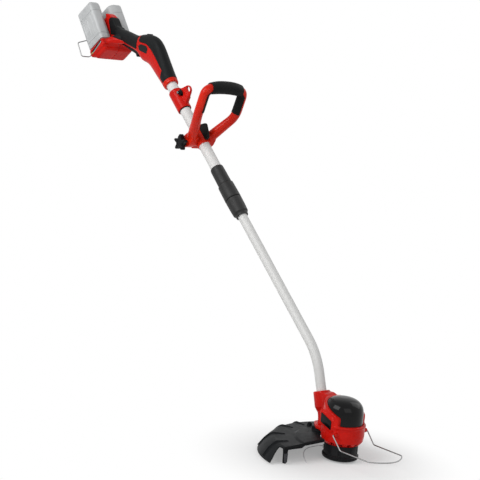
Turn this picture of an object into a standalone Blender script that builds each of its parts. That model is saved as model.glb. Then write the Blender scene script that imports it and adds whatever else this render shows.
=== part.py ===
"""Cordless string trimmer: a bent telescopic shaft with a cutting head, a D handle and two battery packs.

The frame stands on the ground under the cutting head. +X points forward, away from the user, +Y to the
user's left and +Z up. The spool turns about the Z axis.
"""

from math import cos, hypot, pi, radians, sin

import bmesh
import bpy
from mathutils import Matrix, Vector

MM = 0.001

# Clearances
GAP = 0.3 * MM
WELD = 0.002 * MM
MERGE = 0.0001

# Shaft: two telescoping aluminium tubes, the lower one bent near the head
LOWER_TUBE_R = 12 * MM
UPPER_TUBE_R = 14.5 * MM
TUBE_WALL = 1.5 * MM
SHAFT_TILT = radians(42.3)
NECK_TILT = radians(71)
BEND_R = 175 * MM
NECK_FOOT = Vector((-68.3, 0, 104)) * MM
NECK_LENGTH = 82.9 * MM
LOWER_TUBE_TOP = 510 * MM
UPPER_TUBE_BOTTOM = 432 * MM
UPPER_TUBE_TOP = 905 * MM
LEAD_R = 3 * MM
BUSH_BORE_R = 7 * MM

# Fittings on the shaft, by their distance along the straight stretch from the bend
LOCK_BOTTOM = 376 * MM
LOCK_SEAM = 430 * MM
LOCK_STEP = 477 * MM
LOCK_TOP = 534 * MM
CLAMP_BOTTOM = 612 * MM
CLAMP_BOLT = 639 * MM
CLAMP_TOP = 664 * MM
COLLAR_BOTTOM = 737 * MM
COLLAR_TOP = 801 * MM
NOSE_RING_BOTTOM = 826 * MM
NOSE_RING_TOP = 838 * MM

# Front D handle
LEG_R = 11.3 * MM
GRIP_R = 16.3 * MM
GRIP_HALF_WIDTH = 60 * MM
LEG_HALF_WIDTH = 64 * MM
CHEEK_INNER = 17.6 * MM
CHEEK_OUTER = 41 * MM
BOLT_R = 3 * MM
BOLT_DEPTH = 20.5 * MM
KNOB_R = 22 * MM
KNOB_LENGTH = 16 * MM

# Battery packs, in their own frame: height along the pack and depth across it
PACK_TILT = radians(37.66)
TRAY_TOP = 1349 * MM
TRAY_THICKNESS = 23 * MM
TRAY_REAR = -311 * MM
TRAY_FRONT = -235 * MM
TRAY_HALF_WIDTH = 57 * MM
PACK_HEIGHT = 119 * MM
PACK_DEPTH = 73 * MM
PACK_FRONT = -237 * MM
PACK_INNER = 13 * MM
PACK_OUTER = 57 * MM
POST_HALF_WIDTH = 12 * MM
RAIL_DEPTH = -284 * MM
RAIL_LENGTH = 60 * MM
RAIL_HALF_WIDTH = 9 * MM
CARRIER_REAR = -300 * MM
CARRIER_HEIGHT = 74 * MM
CARRIER_HALF_WIDTH = 11.4 * MM
PACK_CHAMFER = 23 * MM

# Motor head
HOUSING_R = 51.5 * MM
CAP_R = 45.5 * MM
HOUSING_BOTTOM = 40.3 * MM
HOUSING_RIM = 88 * MM
CAP_TOP = 149 * MM
CAP_WALL = 2.5 * MM
MOTOR_R = 25 * MM
DRIVE_SHAFT_R = 4 * MM
SOCKET_R = 20 * MM

# Spool
SPOOL_R = 40 * MM
FLANGE_R = 43 * MM
SPOOL_TOP = 39.3 * MM
KNOB_BUTTON_R = 16 * MM
REEL_R = 35 * MM
LINE_R = 0.8 * MM
EYELET_HEIGHT = 25 * MM
EYELET_ANGLE = radians(220)

# Guard: a fan-shaped shield behind the head
GUARD_NEAR = radians(262)
GUARD_FAR = radians(122)
NEAR_WALL = GUARD_NEAR - radians(1.2)
FAR_WALL = GUARD_FAR + radians(1.2)
GUARD_WALL = 2.7 * MM
GUARD_BACK = HOUSING_R - 1.2 * MM

# Wire distance guard
WIRE_R = 1.5 * MM
WIRE_PIVOT = Vector((23.6, 57.8, 70.1)) * MM

# Trigger
TRIGGER_PIVOT = Vector((-988, 0, 914)) * MM

RED = ("red_plastic", (0.62, 0.02, 0.02), 0.35, 0.0)
BLACK = ("black_plastic", (0.03, 0.03, 0.03), 0.5, 0.0)
RUBBER = ("soft_grip", (0.025, 0.027, 0.027), 0.8, 0.0)
ALUMINIUM = ("aluminium", (0.8, 0.8, 0.78), 0.3, 1.0)
STEEL = ("steel", (0.5, 0.5, 0.5), 0.3, 1.0)
COPPER = ("brass", (0.75, 0.55, 0.25), 0.35, 1.0)
PACK_GREY = ("pack_grey", (0.72, 0.73, 0.73), 0.4, 0.0)
BOARD_GREEN = ("board_green", (0.03, 0.2, 0.08), 0.5, 0.0)
NYLON = ("nylon", (0.75, 0.72, 0.75), 0.4, 0.0)

# Outlines drawn in the side view take x as forward and y as up.
SIDE = Matrix.Rotation(radians(90), 4, "X")


def clear_scene():
    for obj in list(bpy.data.objects):
        bpy.data.objects.remove(obj)


clear_scene()
PARTS = bpy.data.collections.new("string_trimmer")
bpy.context.scene.collection.children.link(PARTS)


def up_the_neck():
    return Vector((-cos(NECK_TILT), 0, sin(NECK_TILT)))


def bend_centre():
    """The centre of the bend, in front of and above the top of the neck."""
    return NECK_FOOT + up_the_neck() * NECK_LENGTH - Vector((sin(NECK_TILT), 0, cos(NECK_TILT))) * BEND_R


def bend_point(tilt):
    return bend_centre() + Vector((sin(tilt), 0, cos(tilt))) * BEND_R


SHAFT_START = bend_point(SHAFT_TILT)
# Local z runs up the straight shaft and local x points up and forward from it.
SHAFT = Matrix.Translation(SHAFT_START) @ Matrix.Rotation(SHAFT_TILT - pi / 2, 4, "Y")
# Local z runs up the battery packs and local x is their depth, towards the grip.
PACK = Matrix.Rotation(-PACK_TILT, 4, "Y")


def on_shaft(along, out=0.0, side=0.0):
    return SHAFT @ Vector((out, side, along))


def on_pack(depth, side, height):
    return PACK @ Vector((depth, side, height))


# Shapes


def add(name, mesh, place=None):
    obj = bpy.data.objects.new(name, mesh)
    PARTS.objects.link(obj)
    if place is not None:
        obj.matrix_world = place
    return obj


def add_bmesh(name, bm, place=None):
    bmesh.ops.recalc_face_normals(bm, faces=bm.faces)
    mesh = bpy.data.meshes.new(name)
    bm.to_mesh(mesh)
    bm.free()
    return add(name, mesh, place)


def bake(obj):
    """Put the object's evaluated mesh, in world coordinates and welded, in place of its own."""
    graph = bpy.context.evaluated_depsgraph_get()
    mesh = bpy.data.meshes.new_from_object(obj.evaluated_get(graph))
    mesh.transform(obj.matrix_world)
    bm = bmesh.new()
    bm.from_mesh(mesh)
    bmesh.ops.remove_doubles(bm, verts=bm.verts, dist=WELD)
    bm.to_mesh(mesh)
    bm.free()
    name = obj.name
    bpy.data.objects.remove(obj)
    return add(name, mesh)


def box(name, low, high, place=None):
    """A box between two corners."""
    low, high = Vector(low), Vector(high)
    size = high - low
    bm = bmesh.new()
    scale = Matrix.Diagonal((abs(size.x), abs(size.y), abs(size.z), 1))
    bmesh.ops.create_cube(bm, size=1, matrix=Matrix.Translation((low + high) / 2) @ scale)
    return bake(add_bmesh(name, bm, place))


def drum(name, start, end, radius, sides=24, end_radius=None):
    """A cylinder or cone between two points."""
    start, end = Vector(start), Vector(end)
    axis = end - start
    turn = Vector((0, 0, 1)).rotation_difference(axis).to_matrix().to_4x4()
    bm = bmesh.new()
    bmesh.ops.create_cone(
        bm,
        cap_ends=True,
        segments=sides,
        radius1=radius,
        radius2=radius if end_radius is None else end_radius,
        depth=axis.length,
    )
    return bake(add_bmesh(name, bm, Matrix.Translation((start + end) / 2) @ turn))


def turned(name, profile, place=None, steps=24):
    """Turn (radius, height) points about local z. They run down the outside, and up the bore if there is one."""
    bm = bmesh.new()
    verts = [bm.verts.new((radius, 0, height)) for radius, height in profile]
    ends = zip(verts, verts[1:])
    if profile[0][0] > 0:
        ends = zip(verts, verts[1:] + verts[:1])
    for start, end in ends:
        bm.edges.new((start, end))
    mesh = bpy.data.meshes.new(name)
    bm.to_mesh(mesh)
    bm.free()
    obj = add(name, mesh, place)
    screw = obj.modifiers.new("turn", "SCREW")
    screw.steps = steps
    screw.render_steps = steps
    screw.use_merge_vertices = True
    screw.merge_threshold = MERGE
    return bake(obj)


def plate(name, outline, thickness, place=None, holes=()):
    """A flat piece with its outline in local x and y and its thickness centred on local z."""
    curve = bpy.data.curves.new(name, "CURVE")
    curve.dimensions = "2D"
    curve.fill_mode = "BOTH"
    curve.extrude = thickness / 2
    for points in (outline, *holes):
        spline = curve.splines.new("POLY")
        spline.points.add(len(points) - 1)
        for point, (x, y) in zip(spline.points, points):
            point.co = (x, y, 0, 1)
        spline.use_cyclic_u = True
    flat = bake(add(name, curve, place))
    bm = bmesh.new()
    bm.from_mesh(flat.data)
    bmesh.ops.dissolve_limit(bm, angle_limit=radians(0.5), verts=bm.verts, edges=bm.edges)
    bmesh.ops.recalc_face_normals(bm, faces=bm.faces)
    bm.to_mesh(flat.data)
    bm.free()
    return flat


def swept(name, points, radius, resolution=3, radii=None, wall=None):
    """A round bar along the points, or a tube where it has a wall."""
    curve = bpy.data.curves.new(name, "CURVE")
    curve.dimensions = "3D"
    curve.bevel_depth = radius
    curve.bevel_resolution = resolution
    curve.use_fill_caps = wall is None
    spline = curve.splines.new("POLY")
    spline.points.add(len(points) - 1)
    for index, (point, place) in enumerate(zip(spline.points, points)):
        point.co = (*place, 1)
        point.radius = radii[index] / radius if radii else 1
    bar = bake(add(name, curve))
    if wall is None:
        return bar
    shell = bar.modifiers.new("wall", "SOLIDIFY")
    shell.thickness = wall
    shell.offset = -1
    return bake(bar)


def loft(name, rings):
    """A closed skin through rings that have the same number of points."""
    bm = bmesh.new()
    loops = [[bm.verts.new(point) for point in ring] for ring in rings]
    for low, high in zip(loops, loops[1:]):
        for index in range(len(low)):
            bm.faces.new((low[index - 1], low[index], high[index], high[index - 1]))
    bm.faces.new(loops[0])
    bm.faces.new(loops[-1])
    return add_bmesh(name, bm)


def combine(target, tool, operation):
    change = target.modifiers.new("cut", "BOOLEAN")
    change.operation = operation
    change.object = tool
    result = bake(target)
    bpy.data.objects.remove(tool)
    return result


def cut(target, *tools):
    for tool in tools:
        target = combine(target, tool, "DIFFERENCE")
    return target


def join(target, *tools):
    for tool in tools:
        target = combine(target, tool, "UNION")
    return target


def common(target, tool):
    return combine(target, tool, "INTERSECT")


def copy(obj, name):
    return add(name, obj.data.copy())


def soften(obj, width, segments=2, angle=40):
    """Round the edges sharper than the angle."""
    edge = obj.modifiers.new("edge", "BEVEL")
    edge.width = width
    edge.segments = segments
    edge.limit_method = "ANGLE"
    edge.angle_limit = radians(angle)
    return bake(obj)


def half_of(whole, name, side):
    """The piece of a housing on one side of its middle plane, closed there by a flat face."""
    bm = bmesh.new()
    bm.from_mesh(whole.data)
    bmesh.ops.triangulate(bm, faces=bm.faces)
    bmesh.ops.bisect_plane(
        bm,
        geom=[*bm.verts, *bm.edges, *bm.faces],
        dist=WELD,
        plane_co=(0, side * GAP / 2, 0),
        plane_no=(0, side, 0),
        clear_inner=True,
    )
    rim = [edge for edge in bm.edges if edge.is_boundary]
    bmesh.ops.triangle_fill(bm, use_beauty=True, edges=rim, normal=(0, -side, 0))
    bmesh.ops.dissolve_limit(bm, angle_limit=radians(0.1), verts=bm.verts, edges=bm.edges)
    return add_bmesh(name, bm)


def halves(whole, left_name, right_name):
    """Split a housing on its middle plane into its left and right shells."""
    left = half_of(whole, left_name, 1)
    right = half_of(whole, right_name, -1)
    bpy.data.objects.remove(whole)
    return left, right


def finish(obj, look, origin=None):
    """Give the piece its own material and smooth shading, and put its origin on its joint's axis."""
    look_name, colour, roughness, metallic = look
    material = bpy.data.materials.new(f"{obj.name}_{look_name}")
    material.use_nodes = True
    shader = material.node_tree.nodes["Principled BSDF"]
    shader.inputs["Base Color"].default_value = (*colour, 1)
    shader.inputs["Roughness"].default_value = roughness
    shader.inputs["Metallic"].default_value = metallic
    material.diffuse_color = (*colour, 1)
    obj.data.materials.clear()
    obj.data.materials.append(material)
    obj.data.shade_smooth()
    obj.data.set_sharp_from_angle(angle=radians(35))
    if origin is not None:
        obj.data.transform(Matrix.Translation(-origin))
        obj.location = origin
    return obj


def scaled(points):
    """Side-view points given in millimetres, as metres."""
    return [(x * MM, y * MM) for x, y in points]


def side_point(x, z):
    return Vector((x, 0, z)) * MM


def rounded(corners, reach, steps=4, closed=True):
    """Turn each corner of a path by a short curve that begins the given reach before it."""
    corners = [Vector(corner) for corner in corners]
    points = []
    for index, corner in enumerate(corners):
        if not closed and index in (0, len(corners) - 1):
            points.append(corner)
            continue
        before = corners[index - 1]
        after = corners[(index + 1) % len(corners)]
        size = min(reach, (before - corner).length * 0.49, (after - corner).length * 0.49)
        start = corner + (before - corner).normalized() * size
        end = corner + (after - corner).normalized() * size
        for step in range(steps + 1):
            share = step / steps
            points.append(start * (1 - share) ** 2 + corner * 2 * share * (1 - share) + end * share**2)
    return points


def smooth(route, pieces):
    """Points read from one smooth curve through the route."""
    route = [Vector(point) for point in route]
    ends = [route[0] * 2 - route[1], *route, route[-1] * 2 - route[-2]]
    points = []
    for before, start, end, after in zip(ends, ends[1:], ends[2:], ends[3:]):
        for piece in range(pieces):
            t = piece / pieces
            points.append(
                0.5
                * (
                    start * 2
                    + (end - before) * t
                    + (before * 2 - start * 5 + end * 4 - after) * t**2
                    + (start * 3 - before - end * 3 + after) * t**3
                )
            )
    points.append(route[-1])
    return points


def inset(outline, distance):
    """A polygon drawn in by the same distance on every side. Its points run anticlockwise."""
    points = [Vector(point) for point in outline]
    moved = []
    for index, point in enumerate(points):
        to_here = (point - points[index - 1]).normalized()
        onward = (points[(index + 1) % len(points)] - point).normalized()
        normal_here = Vector((-to_here.y, to_here.x))
        normal_on = Vector((-onward.y, onward.x))
        bisector = (normal_here + normal_on).normalized()
        moved.append(point + bisector * distance / max(bisector.dot(normal_here), 0.3))
    return moved


def polar(radius, angle, height=0.0):
    return Vector((radius * cos(angle), radius * sin(angle), height))


# Shaft


def lower_tube():
    """The bent tube from the head's socket to its end inside the upper tube."""
    steps = 6
    bend = [bend_point(NECK_TILT + (SHAFT_TILT - NECK_TILT) * step / steps) for step in range(steps + 1)]
    foot = NECK_FOOT + up_the_neck() * GAP
    points = [foot, *bend, on_shaft(LOWER_TUBE_TOP)]
    return finish(swept("lower_tube", points, LOWER_TUBE_R, 6, wall=TUBE_WALL), ALUMINIUM, SHAFT_START)


def upper_tube():
    bore = UPPER_TUBE_R - TUBE_WALL
    profile = [
        (UPPER_TUBE_R, UPPER_TUBE_TOP),
        (UPPER_TUBE_R, UPPER_TUBE_BOTTOM),
        (bore, UPPER_TUBE_BOTTOM),
        (bore, UPPER_TUBE_TOP),
    ]
    return finish(turned("upper_tube", profile, SHAFT), ALUMINIUM)


def tube_bush():
    """The plug in the lower tube's end, whose flange slides in the upper tube."""
    flange = UPPER_TUBE_R - TUBE_WALL - GAP
    shank = LOWER_TUBE_R - TUBE_WALL - GAP
    seat = LOWER_TUBE_TOP + GAP
    profile = [
        (flange, seat + 6 * MM),
        (flange, seat),
        (shank, seat),
        (shank, seat - 20 * MM),
        (BUSH_BORE_R, seat - 20 * MM),
        (BUSH_BORE_R, seat + 6 * MM),
    ]
    return finish(turned("tube_bush", profile, SHAFT, 16), BLACK, on_shaft(seat))


def lead_route():
    """From the motor's terminals through both tubes to the trigger switch."""
    below_neck = NECK_FOOT - up_the_neck() * 25 * MM
    return [
        Vector((-(MOTOR_R + GAP), 0, below_neck.z)),
        below_neck,
        NECK_FOOT,
        NECK_FOOT + up_the_neck() * NECK_LENGTH,
        bend_point((NECK_TILT + SHAFT_TILT) / 2),
        SHAFT_START,
        on_shaft(UPPER_TUBE_TOP),
        side_point(-840, 884),
        side_point(-865.4, 890),
    ]


def power_lead():
    points = rounded(lead_route(), 20 * MM, 2, closed=False)
    return finish(swept("power_lead", points, LEAD_R, 1), BLACK)


def lock_body():
    """The lock's sleeve on the upper tube, with its threaded neck around the collet."""
    bore = UPPER_TUBE_R + GAP
    profile = [
        (17 * MM, LOCK_TOP),
        (18 * MM, LOCK_TOP - 3 * MM),
        (19 * MM, LOCK_STEP + 1 * MM),
        (20.3 * MM, LOCK_STEP - 2 * MM),
        (21.3 * MM, LOCK_SEAM + GAP),
        (16.4 * MM, LOCK_SEAM + GAP),
        (16.4 * MM, LOCK_SEAM - 26 * MM),
        (13.6 * MM, LOCK_SEAM - 26 * MM),
        (13.6 * MM, UPPER_TUBE_BOTTOM - GAP),
        (bore, UPPER_TUBE_BOTTOM - GAP),
        (bore, LOCK_TOP),
    ]
    return finish(turned("lock_body", profile, SHAFT, 20), BLACK)


def lock_nut():
    """The twist ring that squeezes the collet onto the lower tube."""
    profile = [
        (21.3 * MM, LOCK_SEAM),
        (21.5 * MM, LOCK_SEAM - 5 * MM),
        (19.5 * MM, LOCK_BOTTOM + 10 * MM),
        (16.5 * MM, LOCK_BOTTOM + 7 * MM),
        (15 * MM, LOCK_BOTTOM),
        (12.6 * MM, LOCK_BOTTOM),
        (12.6 * MM, LOCK_BOTTOM + 8 * MM),
        (13.6 * MM, LOCK_BOTTOM + 9 * MM),
        (13.6 * MM, LOCK_SEAM - 27 * MM),
        (16.7 * MM, LOCK_SEAM - 27 * MM),
        (16.7 * MM, LOCK_SEAM),
    ]
    nut = turned("lock_nut", profile, SHAFT, 20)
    for index in range(6):
        angle = index * pi / 3
        start = SHAFT @ polar(23.6 * MM, angle, LOCK_BOTTOM + 14 * MM)
        end = SHAFT @ polar(23.6 * MM, angle, LOCK_SEAM - 8 * MM)
        nut = cut(nut, drum("groove", start, end, 3 * MM, 6))
    return finish(nut, BLACK, on_shaft(LOCK_BOTTOM))


def collet():
    """The split ring between the lock and the lower tube."""
    bore = LOWER_TUBE_R + GAP
    bottom = LOCK_BOTTOM + 10 * MM
    top = LOCK_SEAM - 8 * MM
    profile = [(13.3 * MM, top), (13.3 * MM, bottom), (bore, bottom), (bore, top)]
    ring = turned("collet", profile, SHAFT)
    slit = box("slit", (10 * MM, -1 * MM, bottom - 1 * MM), (16 * MM, 1 * MM, top + 1 * MM), SHAFT)
    return finish(cut(ring, slit), NYLON)


def strap_collar():
    """The clamp ring for a carrying strap, with its lug and eye on the upper side."""
    bore = UPPER_TUBE_R + 1.7 * MM
    outer = UPPER_TUBE_R + 4.5 * MM
    profile = [(0, COLLAR_TOP), (outer, COLLAR_TOP), (outer, COLLAR_BOTTOM), (0, COLLAR_BOTTOM)]
    ring = turned("strap_collar", profile, SHAFT)
    lug_outline = [
        (12 * MM, COLLAR_TOP - 2 * MM),
        (20 * MM, COLLAR_TOP - 8 * MM),
        (52 * MM, COLLAR_TOP - 23 * MM),
        (56 * MM, COLLAR_TOP - 32 * MM),
        (53 * MM, COLLAR_TOP - 42 * MM),
        (43 * MM, COLLAR_TOP - 48 * MM),
        (22 * MM, COLLAR_BOTTOM + 10 * MM),
        (12 * MM, COLLAR_BOTTOM + 3 * MM),
    ]
    lug = soften(plate("lug", rounded(lug_outline, 5 * MM, 2), 11 * MM, SHAFT @ SIDE), 1.5 * MM, 1)
    eye = Vector((47 * MM, COLLAR_TOP - 32.5 * MM))
    eye_outline = [eye + Vector((4.5 * MM * cos(a * pi / 6), 6 * MM * sin(a * pi / 6))) for a in range(12)]
    collar = join(ring, lug)
    screw_head = on_shaft(COLLAR_TOP - 23 * MM, UPPER_TUBE_R + 8 * MM, 0)
    side = Vector((0, 1, 0))
    return finish(
        cut(
            collar,
            plate("eye", eye_outline, 60 * MM, SHAFT @ SIDE),
            drum("bore", on_shaft(COLLAR_BOTTOM - 9 * MM), on_shaft(COLLAR_TOP + 9 * MM), bore),
            drum("hole", screw_head - side * 20 * MM, screw_head + side * 20 * MM, 2.3 * MM, 10),
            drum("recess", screw_head - side * 20 * MM, screw_head - side * 3 * MM, 5 * MM, 12),
        ),
        RED,
    )


def collar_liner():
    bore = UPPER_TUBE_R + GAP
    outer = UPPER_TUBE_R + 1.4 * MM
    top = COLLAR_TOP + 1.5 * MM
    bottom = COLLAR_BOTTOM - 2 * MM
    return finish(turned("collar_liner", [(outer, top), (outer, bottom), (bore, bottom), (bore, top)], SHAFT), RUBBER)


def collar_screw():
    place = on_shaft(COLLAR_TOP - 23 * MM, UPPER_TUBE_R + 8 * MM, 0)
    side = Vector((0, 1, 0))
    shank = drum("collar_screw", place - side * 3.5 * MM, place + side * 6 * MM, 2 * MM, 12)
    head = drum("head", place - side * 6 * MM, place - side * 3.3 * MM, 4 * MM, 16)
    return finish(join(shank, head), STEEL)


# Front handle


def handle_mount():
    """The fixed ring under the D handle, with the block that its bolt passes through."""
    outer = CHEEK_INNER - GAP
    ring = turned(
        "handle_mount",
        [
            (0, CLAMP_TOP),
            (outer - 1 * MM, CLAMP_TOP),
            (outer, CLAMP_TOP - 2 * MM),
            (outer, CLAMP_BOTTOM + 2 * MM),
            (outer - 1 * MM, CLAMP_BOTTOM),
            (0, CLAMP_BOTTOM),
        ],
        SHAFT,
    )
    block = box(
        "block",
        (-30 * MM, -outer - GAP / 4, CLAMP_BOLT - 13 * MM),
        (-8 * MM, outer + GAP / 4, CLAMP_BOLT + 13 * MM),
        SHAFT,
    )
    bore = drum("bore", on_shaft(CLAMP_BOTTOM - 9 * MM), on_shaft(CLAMP_TOP + 9 * MM), UPPER_TUBE_R + GAP)
    hole = drum("hole", bolt_centre(-30 * MM), bolt_centre(30 * MM), BOLT_R + GAP, 12)
    return finish(cut(join(ring, soften(block, 3 * MM, 1)), bore, hole), RED)


def mount_wedge():
    """The black stop between the handle's legs, on top of the mount ring."""
    outline = [
        (10 * MM, CLAMP_BOTTOM + 6 * MM),
        (29 * MM, CLAMP_BOTTOM + 5 * MM),
        (34 * MM, CLAMP_BOTTOM + 10 * MM),
        (43 * MM, CLAMP_BOTTOM + 34 * MM),
        (41 * MM, CLAMP_BOTTOM + 41 * MM),
        (30 * MM, CLAMP_TOP - 2 * MM),
        (10 * MM, CLAMP_TOP - 2 * MM),
    ]
    wedge = soften(plate("mount_wedge", rounded(outline, 4 * MM, 2), 13 * MM, SHAFT @ SIDE), 2 * MM, 1)
    ring = drum("ring", on_shaft(CLAMP_BOTTOM - 9 * MM), on_shaft(CLAMP_TOP + 9 * MM), CHEEK_INNER)
    return finish(cut(wedge, ring), RUBBER)


def bolt_centre(side=0.0):
    return on_shaft(CLAMP_BOLT, -BOLT_DEPTH, side)


def loop_route():
    """The D handle's centre line from its right cheek over the top to its left cheek."""
    right = [
        on_shaft(CLAMP_BOLT - 1 * MM, 4 * MM, -(CHEEK_INNER + LEG_R + 0.4 * MM)),
        Vector((-561 * MM, -LEG_HALF_WIDTH, 731 * MM)),
        Vector((-538 * MM, -GRIP_HALF_WIDTH - 2 * MM, 815 * MM)),
    ]
    left = [Vector((point.x, -point.y, point.z)) for point in reversed(right)]
    crown = [
        Vector((-535.5 * MM, -30 * MM, 822 * MM)),
        Vector((-535 * MM, 0, 823.5 * MM)),
        Vector((-535.5 * MM, 30 * MM, 822 * MM)),
    ]
    return [*right, *crown, *left]


def cheek(side):
    """The handle's foot, a flat cheek beside the tube that the clamp bolt goes through."""
    outline = [
        (-32 * MM, CLAMP_BOLT - 9 * MM),
        (-10 * MM, CLAMP_BOLT - 20 * MM),
        (14 * MM, CLAMP_BOLT - 15 * MM),
        (14 * MM, CLAMP_BOLT + 10 * MM),
        (-12 * MM, CLAMP_BOLT + 17 * MM),
        (-32 * MM, CLAMP_BOLT + 11 * MM),
    ]
    middle = side * (CHEEK_INNER + CHEEK_OUTER) / 2
    thickness = CHEEK_OUTER - CHEEK_INNER
    place = Matrix.Translation((0, middle, 0)) @ SHAFT @ SIDE
    return soften(plate("cheek", rounded(outline, 9 * MM, 2), thickness, place), 2 * MM, 1)


def handle_loop():
    loop = swept("handle_loop", rounded(loop_route(), 16 * MM, 2, closed=False), LEG_R, 3)
    loop = join(loop, cheek(1), cheek(-1))
    keep_out = box(
        "keep_out",
        (-60 * MM, -CHEEK_INNER, CLAMP_BOTTOM - 30 * MM),
        (60 * MM, CHEEK_INNER, CLAMP_TOP + 30 * MM),
        SHAFT,
    )
    hole = drum("hole", bolt_centre(-50 * MM), bolt_centre(50 * MM), BOLT_R + GAP, 16)
    return finish(cut(loop, keep_out, hole), RED, bolt_centre())


def handle_grip():
    """The soft sleeve: whole round the top bar, and an inner half down each leg."""
    route = rounded(loop_route(), 16 * MM, 2, closed=False)
    route = [point for point in route if point.z > 744 * MM]
    radii = [GRIP_R if abs(point.y) < 50 * MM else 12.6 * MM for point in route]
    sleeve = swept("handle_grip", route, GRIP_R, 3, radii)
    core = swept("core", rounded(loop_route(), 16 * MM, 2, closed=False), LEG_R + GAP, 3)
    inner = [
        Vector((-GRIP_HALF_WIDTH - 1.5 * MM, 600 * MM)),
        Vector((GRIP_HALF_WIDTH + 1.5 * MM, 600 * MM)),
        Vector((GRIP_HALF_WIDTH + 1.5 * MM, 800 * MM)),
        Vector((50 * MM, 811 * MM)),
        Vector((50 * MM, 900 * MM)),
        Vector((-50 * MM, 900 * MM)),
        Vector((-50 * MM, 811 * MM)),
        Vector((-GRIP_HALF_WIDTH - 1.5 * MM, 800 * MM)),
    ]
    front = Matrix.Translation((-540 * MM, 0, 0)) @ Matrix.Rotation(pi / 2, 4, "Z") @ SIDE
    sleeve = common(sleeve, plate("inner", inner, 200 * MM, front))
    return finish(cut(sleeve, core), RUBBER, bolt_centre())


def clamp_bolt():
    end = -(CHEEK_OUTER + KNOB_LENGTH - 3 * MM)
    shank = drum("clamp_bolt", bolt_centre(end), bolt_centre(CHEEK_OUTER + GAP), BOLT_R, 16)
    head = drum("head", bolt_centre(CHEEK_OUTER + GAP - WELD), bolt_centre(CHEEK_OUTER + 5 * MM), 6 * MM, 6)
    return finish(join(shank, head), STEEL)


def star_knob():
    """The five-lobed hand knob on the right-hand end of the clamp bolt."""
    start = -(CHEEK_OUTER + GAP)
    hub = drum("star_knob", bolt_centre(start), bolt_centre(start - KNOB_LENGTH), 13 * MM, 20)
    for index in range(5):
        arm = polar(KNOB_R - 6 * MM, index * 2 * pi / 5 + 0.3)
        lobe = drum(
            "lobe",
            bolt_centre(start - 4 * MM) + Vector((arm.x, 0, arm.y)),
            bolt_centre(start - KNOB_LENGTH) + Vector((arm.x, 0, arm.y)),
            6 * MM,
            8,
        )
        hub = join(hub, soften(lobe, 1.5 * MM, 1, 50))
    hole = drum("hole", bolt_centre(0), bolt_centre(-(CHEEK_OUTER + KNOB_LENGTH - 2 * MM)), BOLT_R + GAP, 12)
    return finish(cut(hub, hole), BLACK, bolt_centre(start - KNOB_LENGTH / 2))


# Rear handle


def section(top, bottom, half_width, power=2.6, count=16):
    """One ring of the handle's body, a rounded box between two side-view points."""
    top, bottom = side_point(*top), side_point(*bottom)
    centre = (top + bottom) / 2
    up = (top - bottom) / 2
    ring = []
    for index in range(count):
        angle = 2 * pi * index / count
        across, rise = cos(angle), sin(angle)
        side = abs(across) ** (2 / power) * (1 if across > 0 else -1)
        height = abs(rise) ** (2 / power) * (1 if rise > 0 else -1)
        ring.append(centre + up * height + Vector((0, side * half_width * MM, 0)))
    return ring


def handle_blank():
    """The whole rear handle before it is split: nose, hump, grip, post and battery tray."""
    body = loft(
        "blank",
        [
            section((-747.3, 836), (-778.3, 802), 23, 2),
            section((-771, 869), (-800, 819), 21.5, 2.2),
            section((-796, 903), (-822, 836), 19.5, 2.4),
            section((-818, 927), (-846, 857), 18.5),
            section((-843, 937), (-866, 864), 18),
            section((-872, 939), (-886, 867), 18),
            section((-897, 938), (-899, 884), 18),
            section((-916, 931), (-918, 893), 17),
            section((-961, 943), (-958, 903), 16.5),
            section((-1008, 951), (-992, 912), 16),
            section((-1022, 950), (-1010, 918), 15),
        ],
    )
    flare = loft(
        "flare",
        [
            section((-972, 938), (-968, 906), 13),
            section((-998, 934), (-984, 906), 24),
            section((-1016, 919), (-1003, 904), 46, 4),
        ],
    )
    post_outline = scaled(
        [
            (-1000, 952),
            (-1000, 920),
            (-1032, 906),
            (-1043, 927),
            (-1060, 966),
            (-1070, 988),
            (-1055, 988),
            (-1031, 976),
            (-1012, 953),
        ]
    )
    post = plate("post", rounded(post_outline, 5 * MM, 2), 2 * POST_HALF_WIDTH, SIDE)
    post = soften(post, 3 * MM, 2, 50)
    carrier = box(
        "carrier",
        (CARRIER_REAR, -CARRIER_HALF_WIDTH, TRAY_TOP - 5.5 * MM),
        (-255 * MM, CARRIER_HALF_WIDTH, TRAY_TOP + CARRIER_HEIGHT),
        PACK,
    )
    tray = box(
        "tray",
        (TRAY_REAR, -TRAY_HALF_WIDTH, TRAY_TOP - TRAY_THICKNESS),
        (TRAY_FRONT, TRAY_HALF_WIDTH, TRAY_TOP),
        PACK,
    )
    belly = box(
        "belly",
        (TRAY_REAR + 10 * MM, -TRAY_HALF_WIDTH + 10 * MM, TRAY_TOP - TRAY_THICKNESS - 7 * MM),
        (TRAY_FRONT - 6 * MM, TRAY_HALF_WIDTH - 10 * MM, TRAY_TOP - TRAY_THICKNESS + 8 * MM),
        PACK,
    )
    return join(body, flare, post, soften(carrier, 2 * MM, 1), soften(tray, 6 * MM, 2), soften(belly, 5 * MM, 1))


# The front cover lies above this line, and the grip cover above the next one. Both run anticlockwise.
FRONT_COVER = scaled(
    [
        (-897, 965),
        (-896, 920),
        (-858, 915),
        (-834, 899),
        (-808, 876),
        (-788, 856),
        (-774, 842),
        (-783, 826),
        (-766, 812),
        (-720, 830),
        (-780, 965),
    ]
)
GRIP_COVER = scaled(
    [
        (-899, 965),
        (-1000, 965),
        (-1020, 990),
        (-1061, 990),
        (-1054, 972),
        (-1034, 930),
        (-1025, 935),
        (-991, 927),
        (-951, 914),
        (-927, 908),
        (-903, 901),
    ]
)
TRIGGER_SLOT = scaled([(-996.5, 890), (-899, 866), (-899, 912), (-945, 920), (-996.5, 922)])


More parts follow.
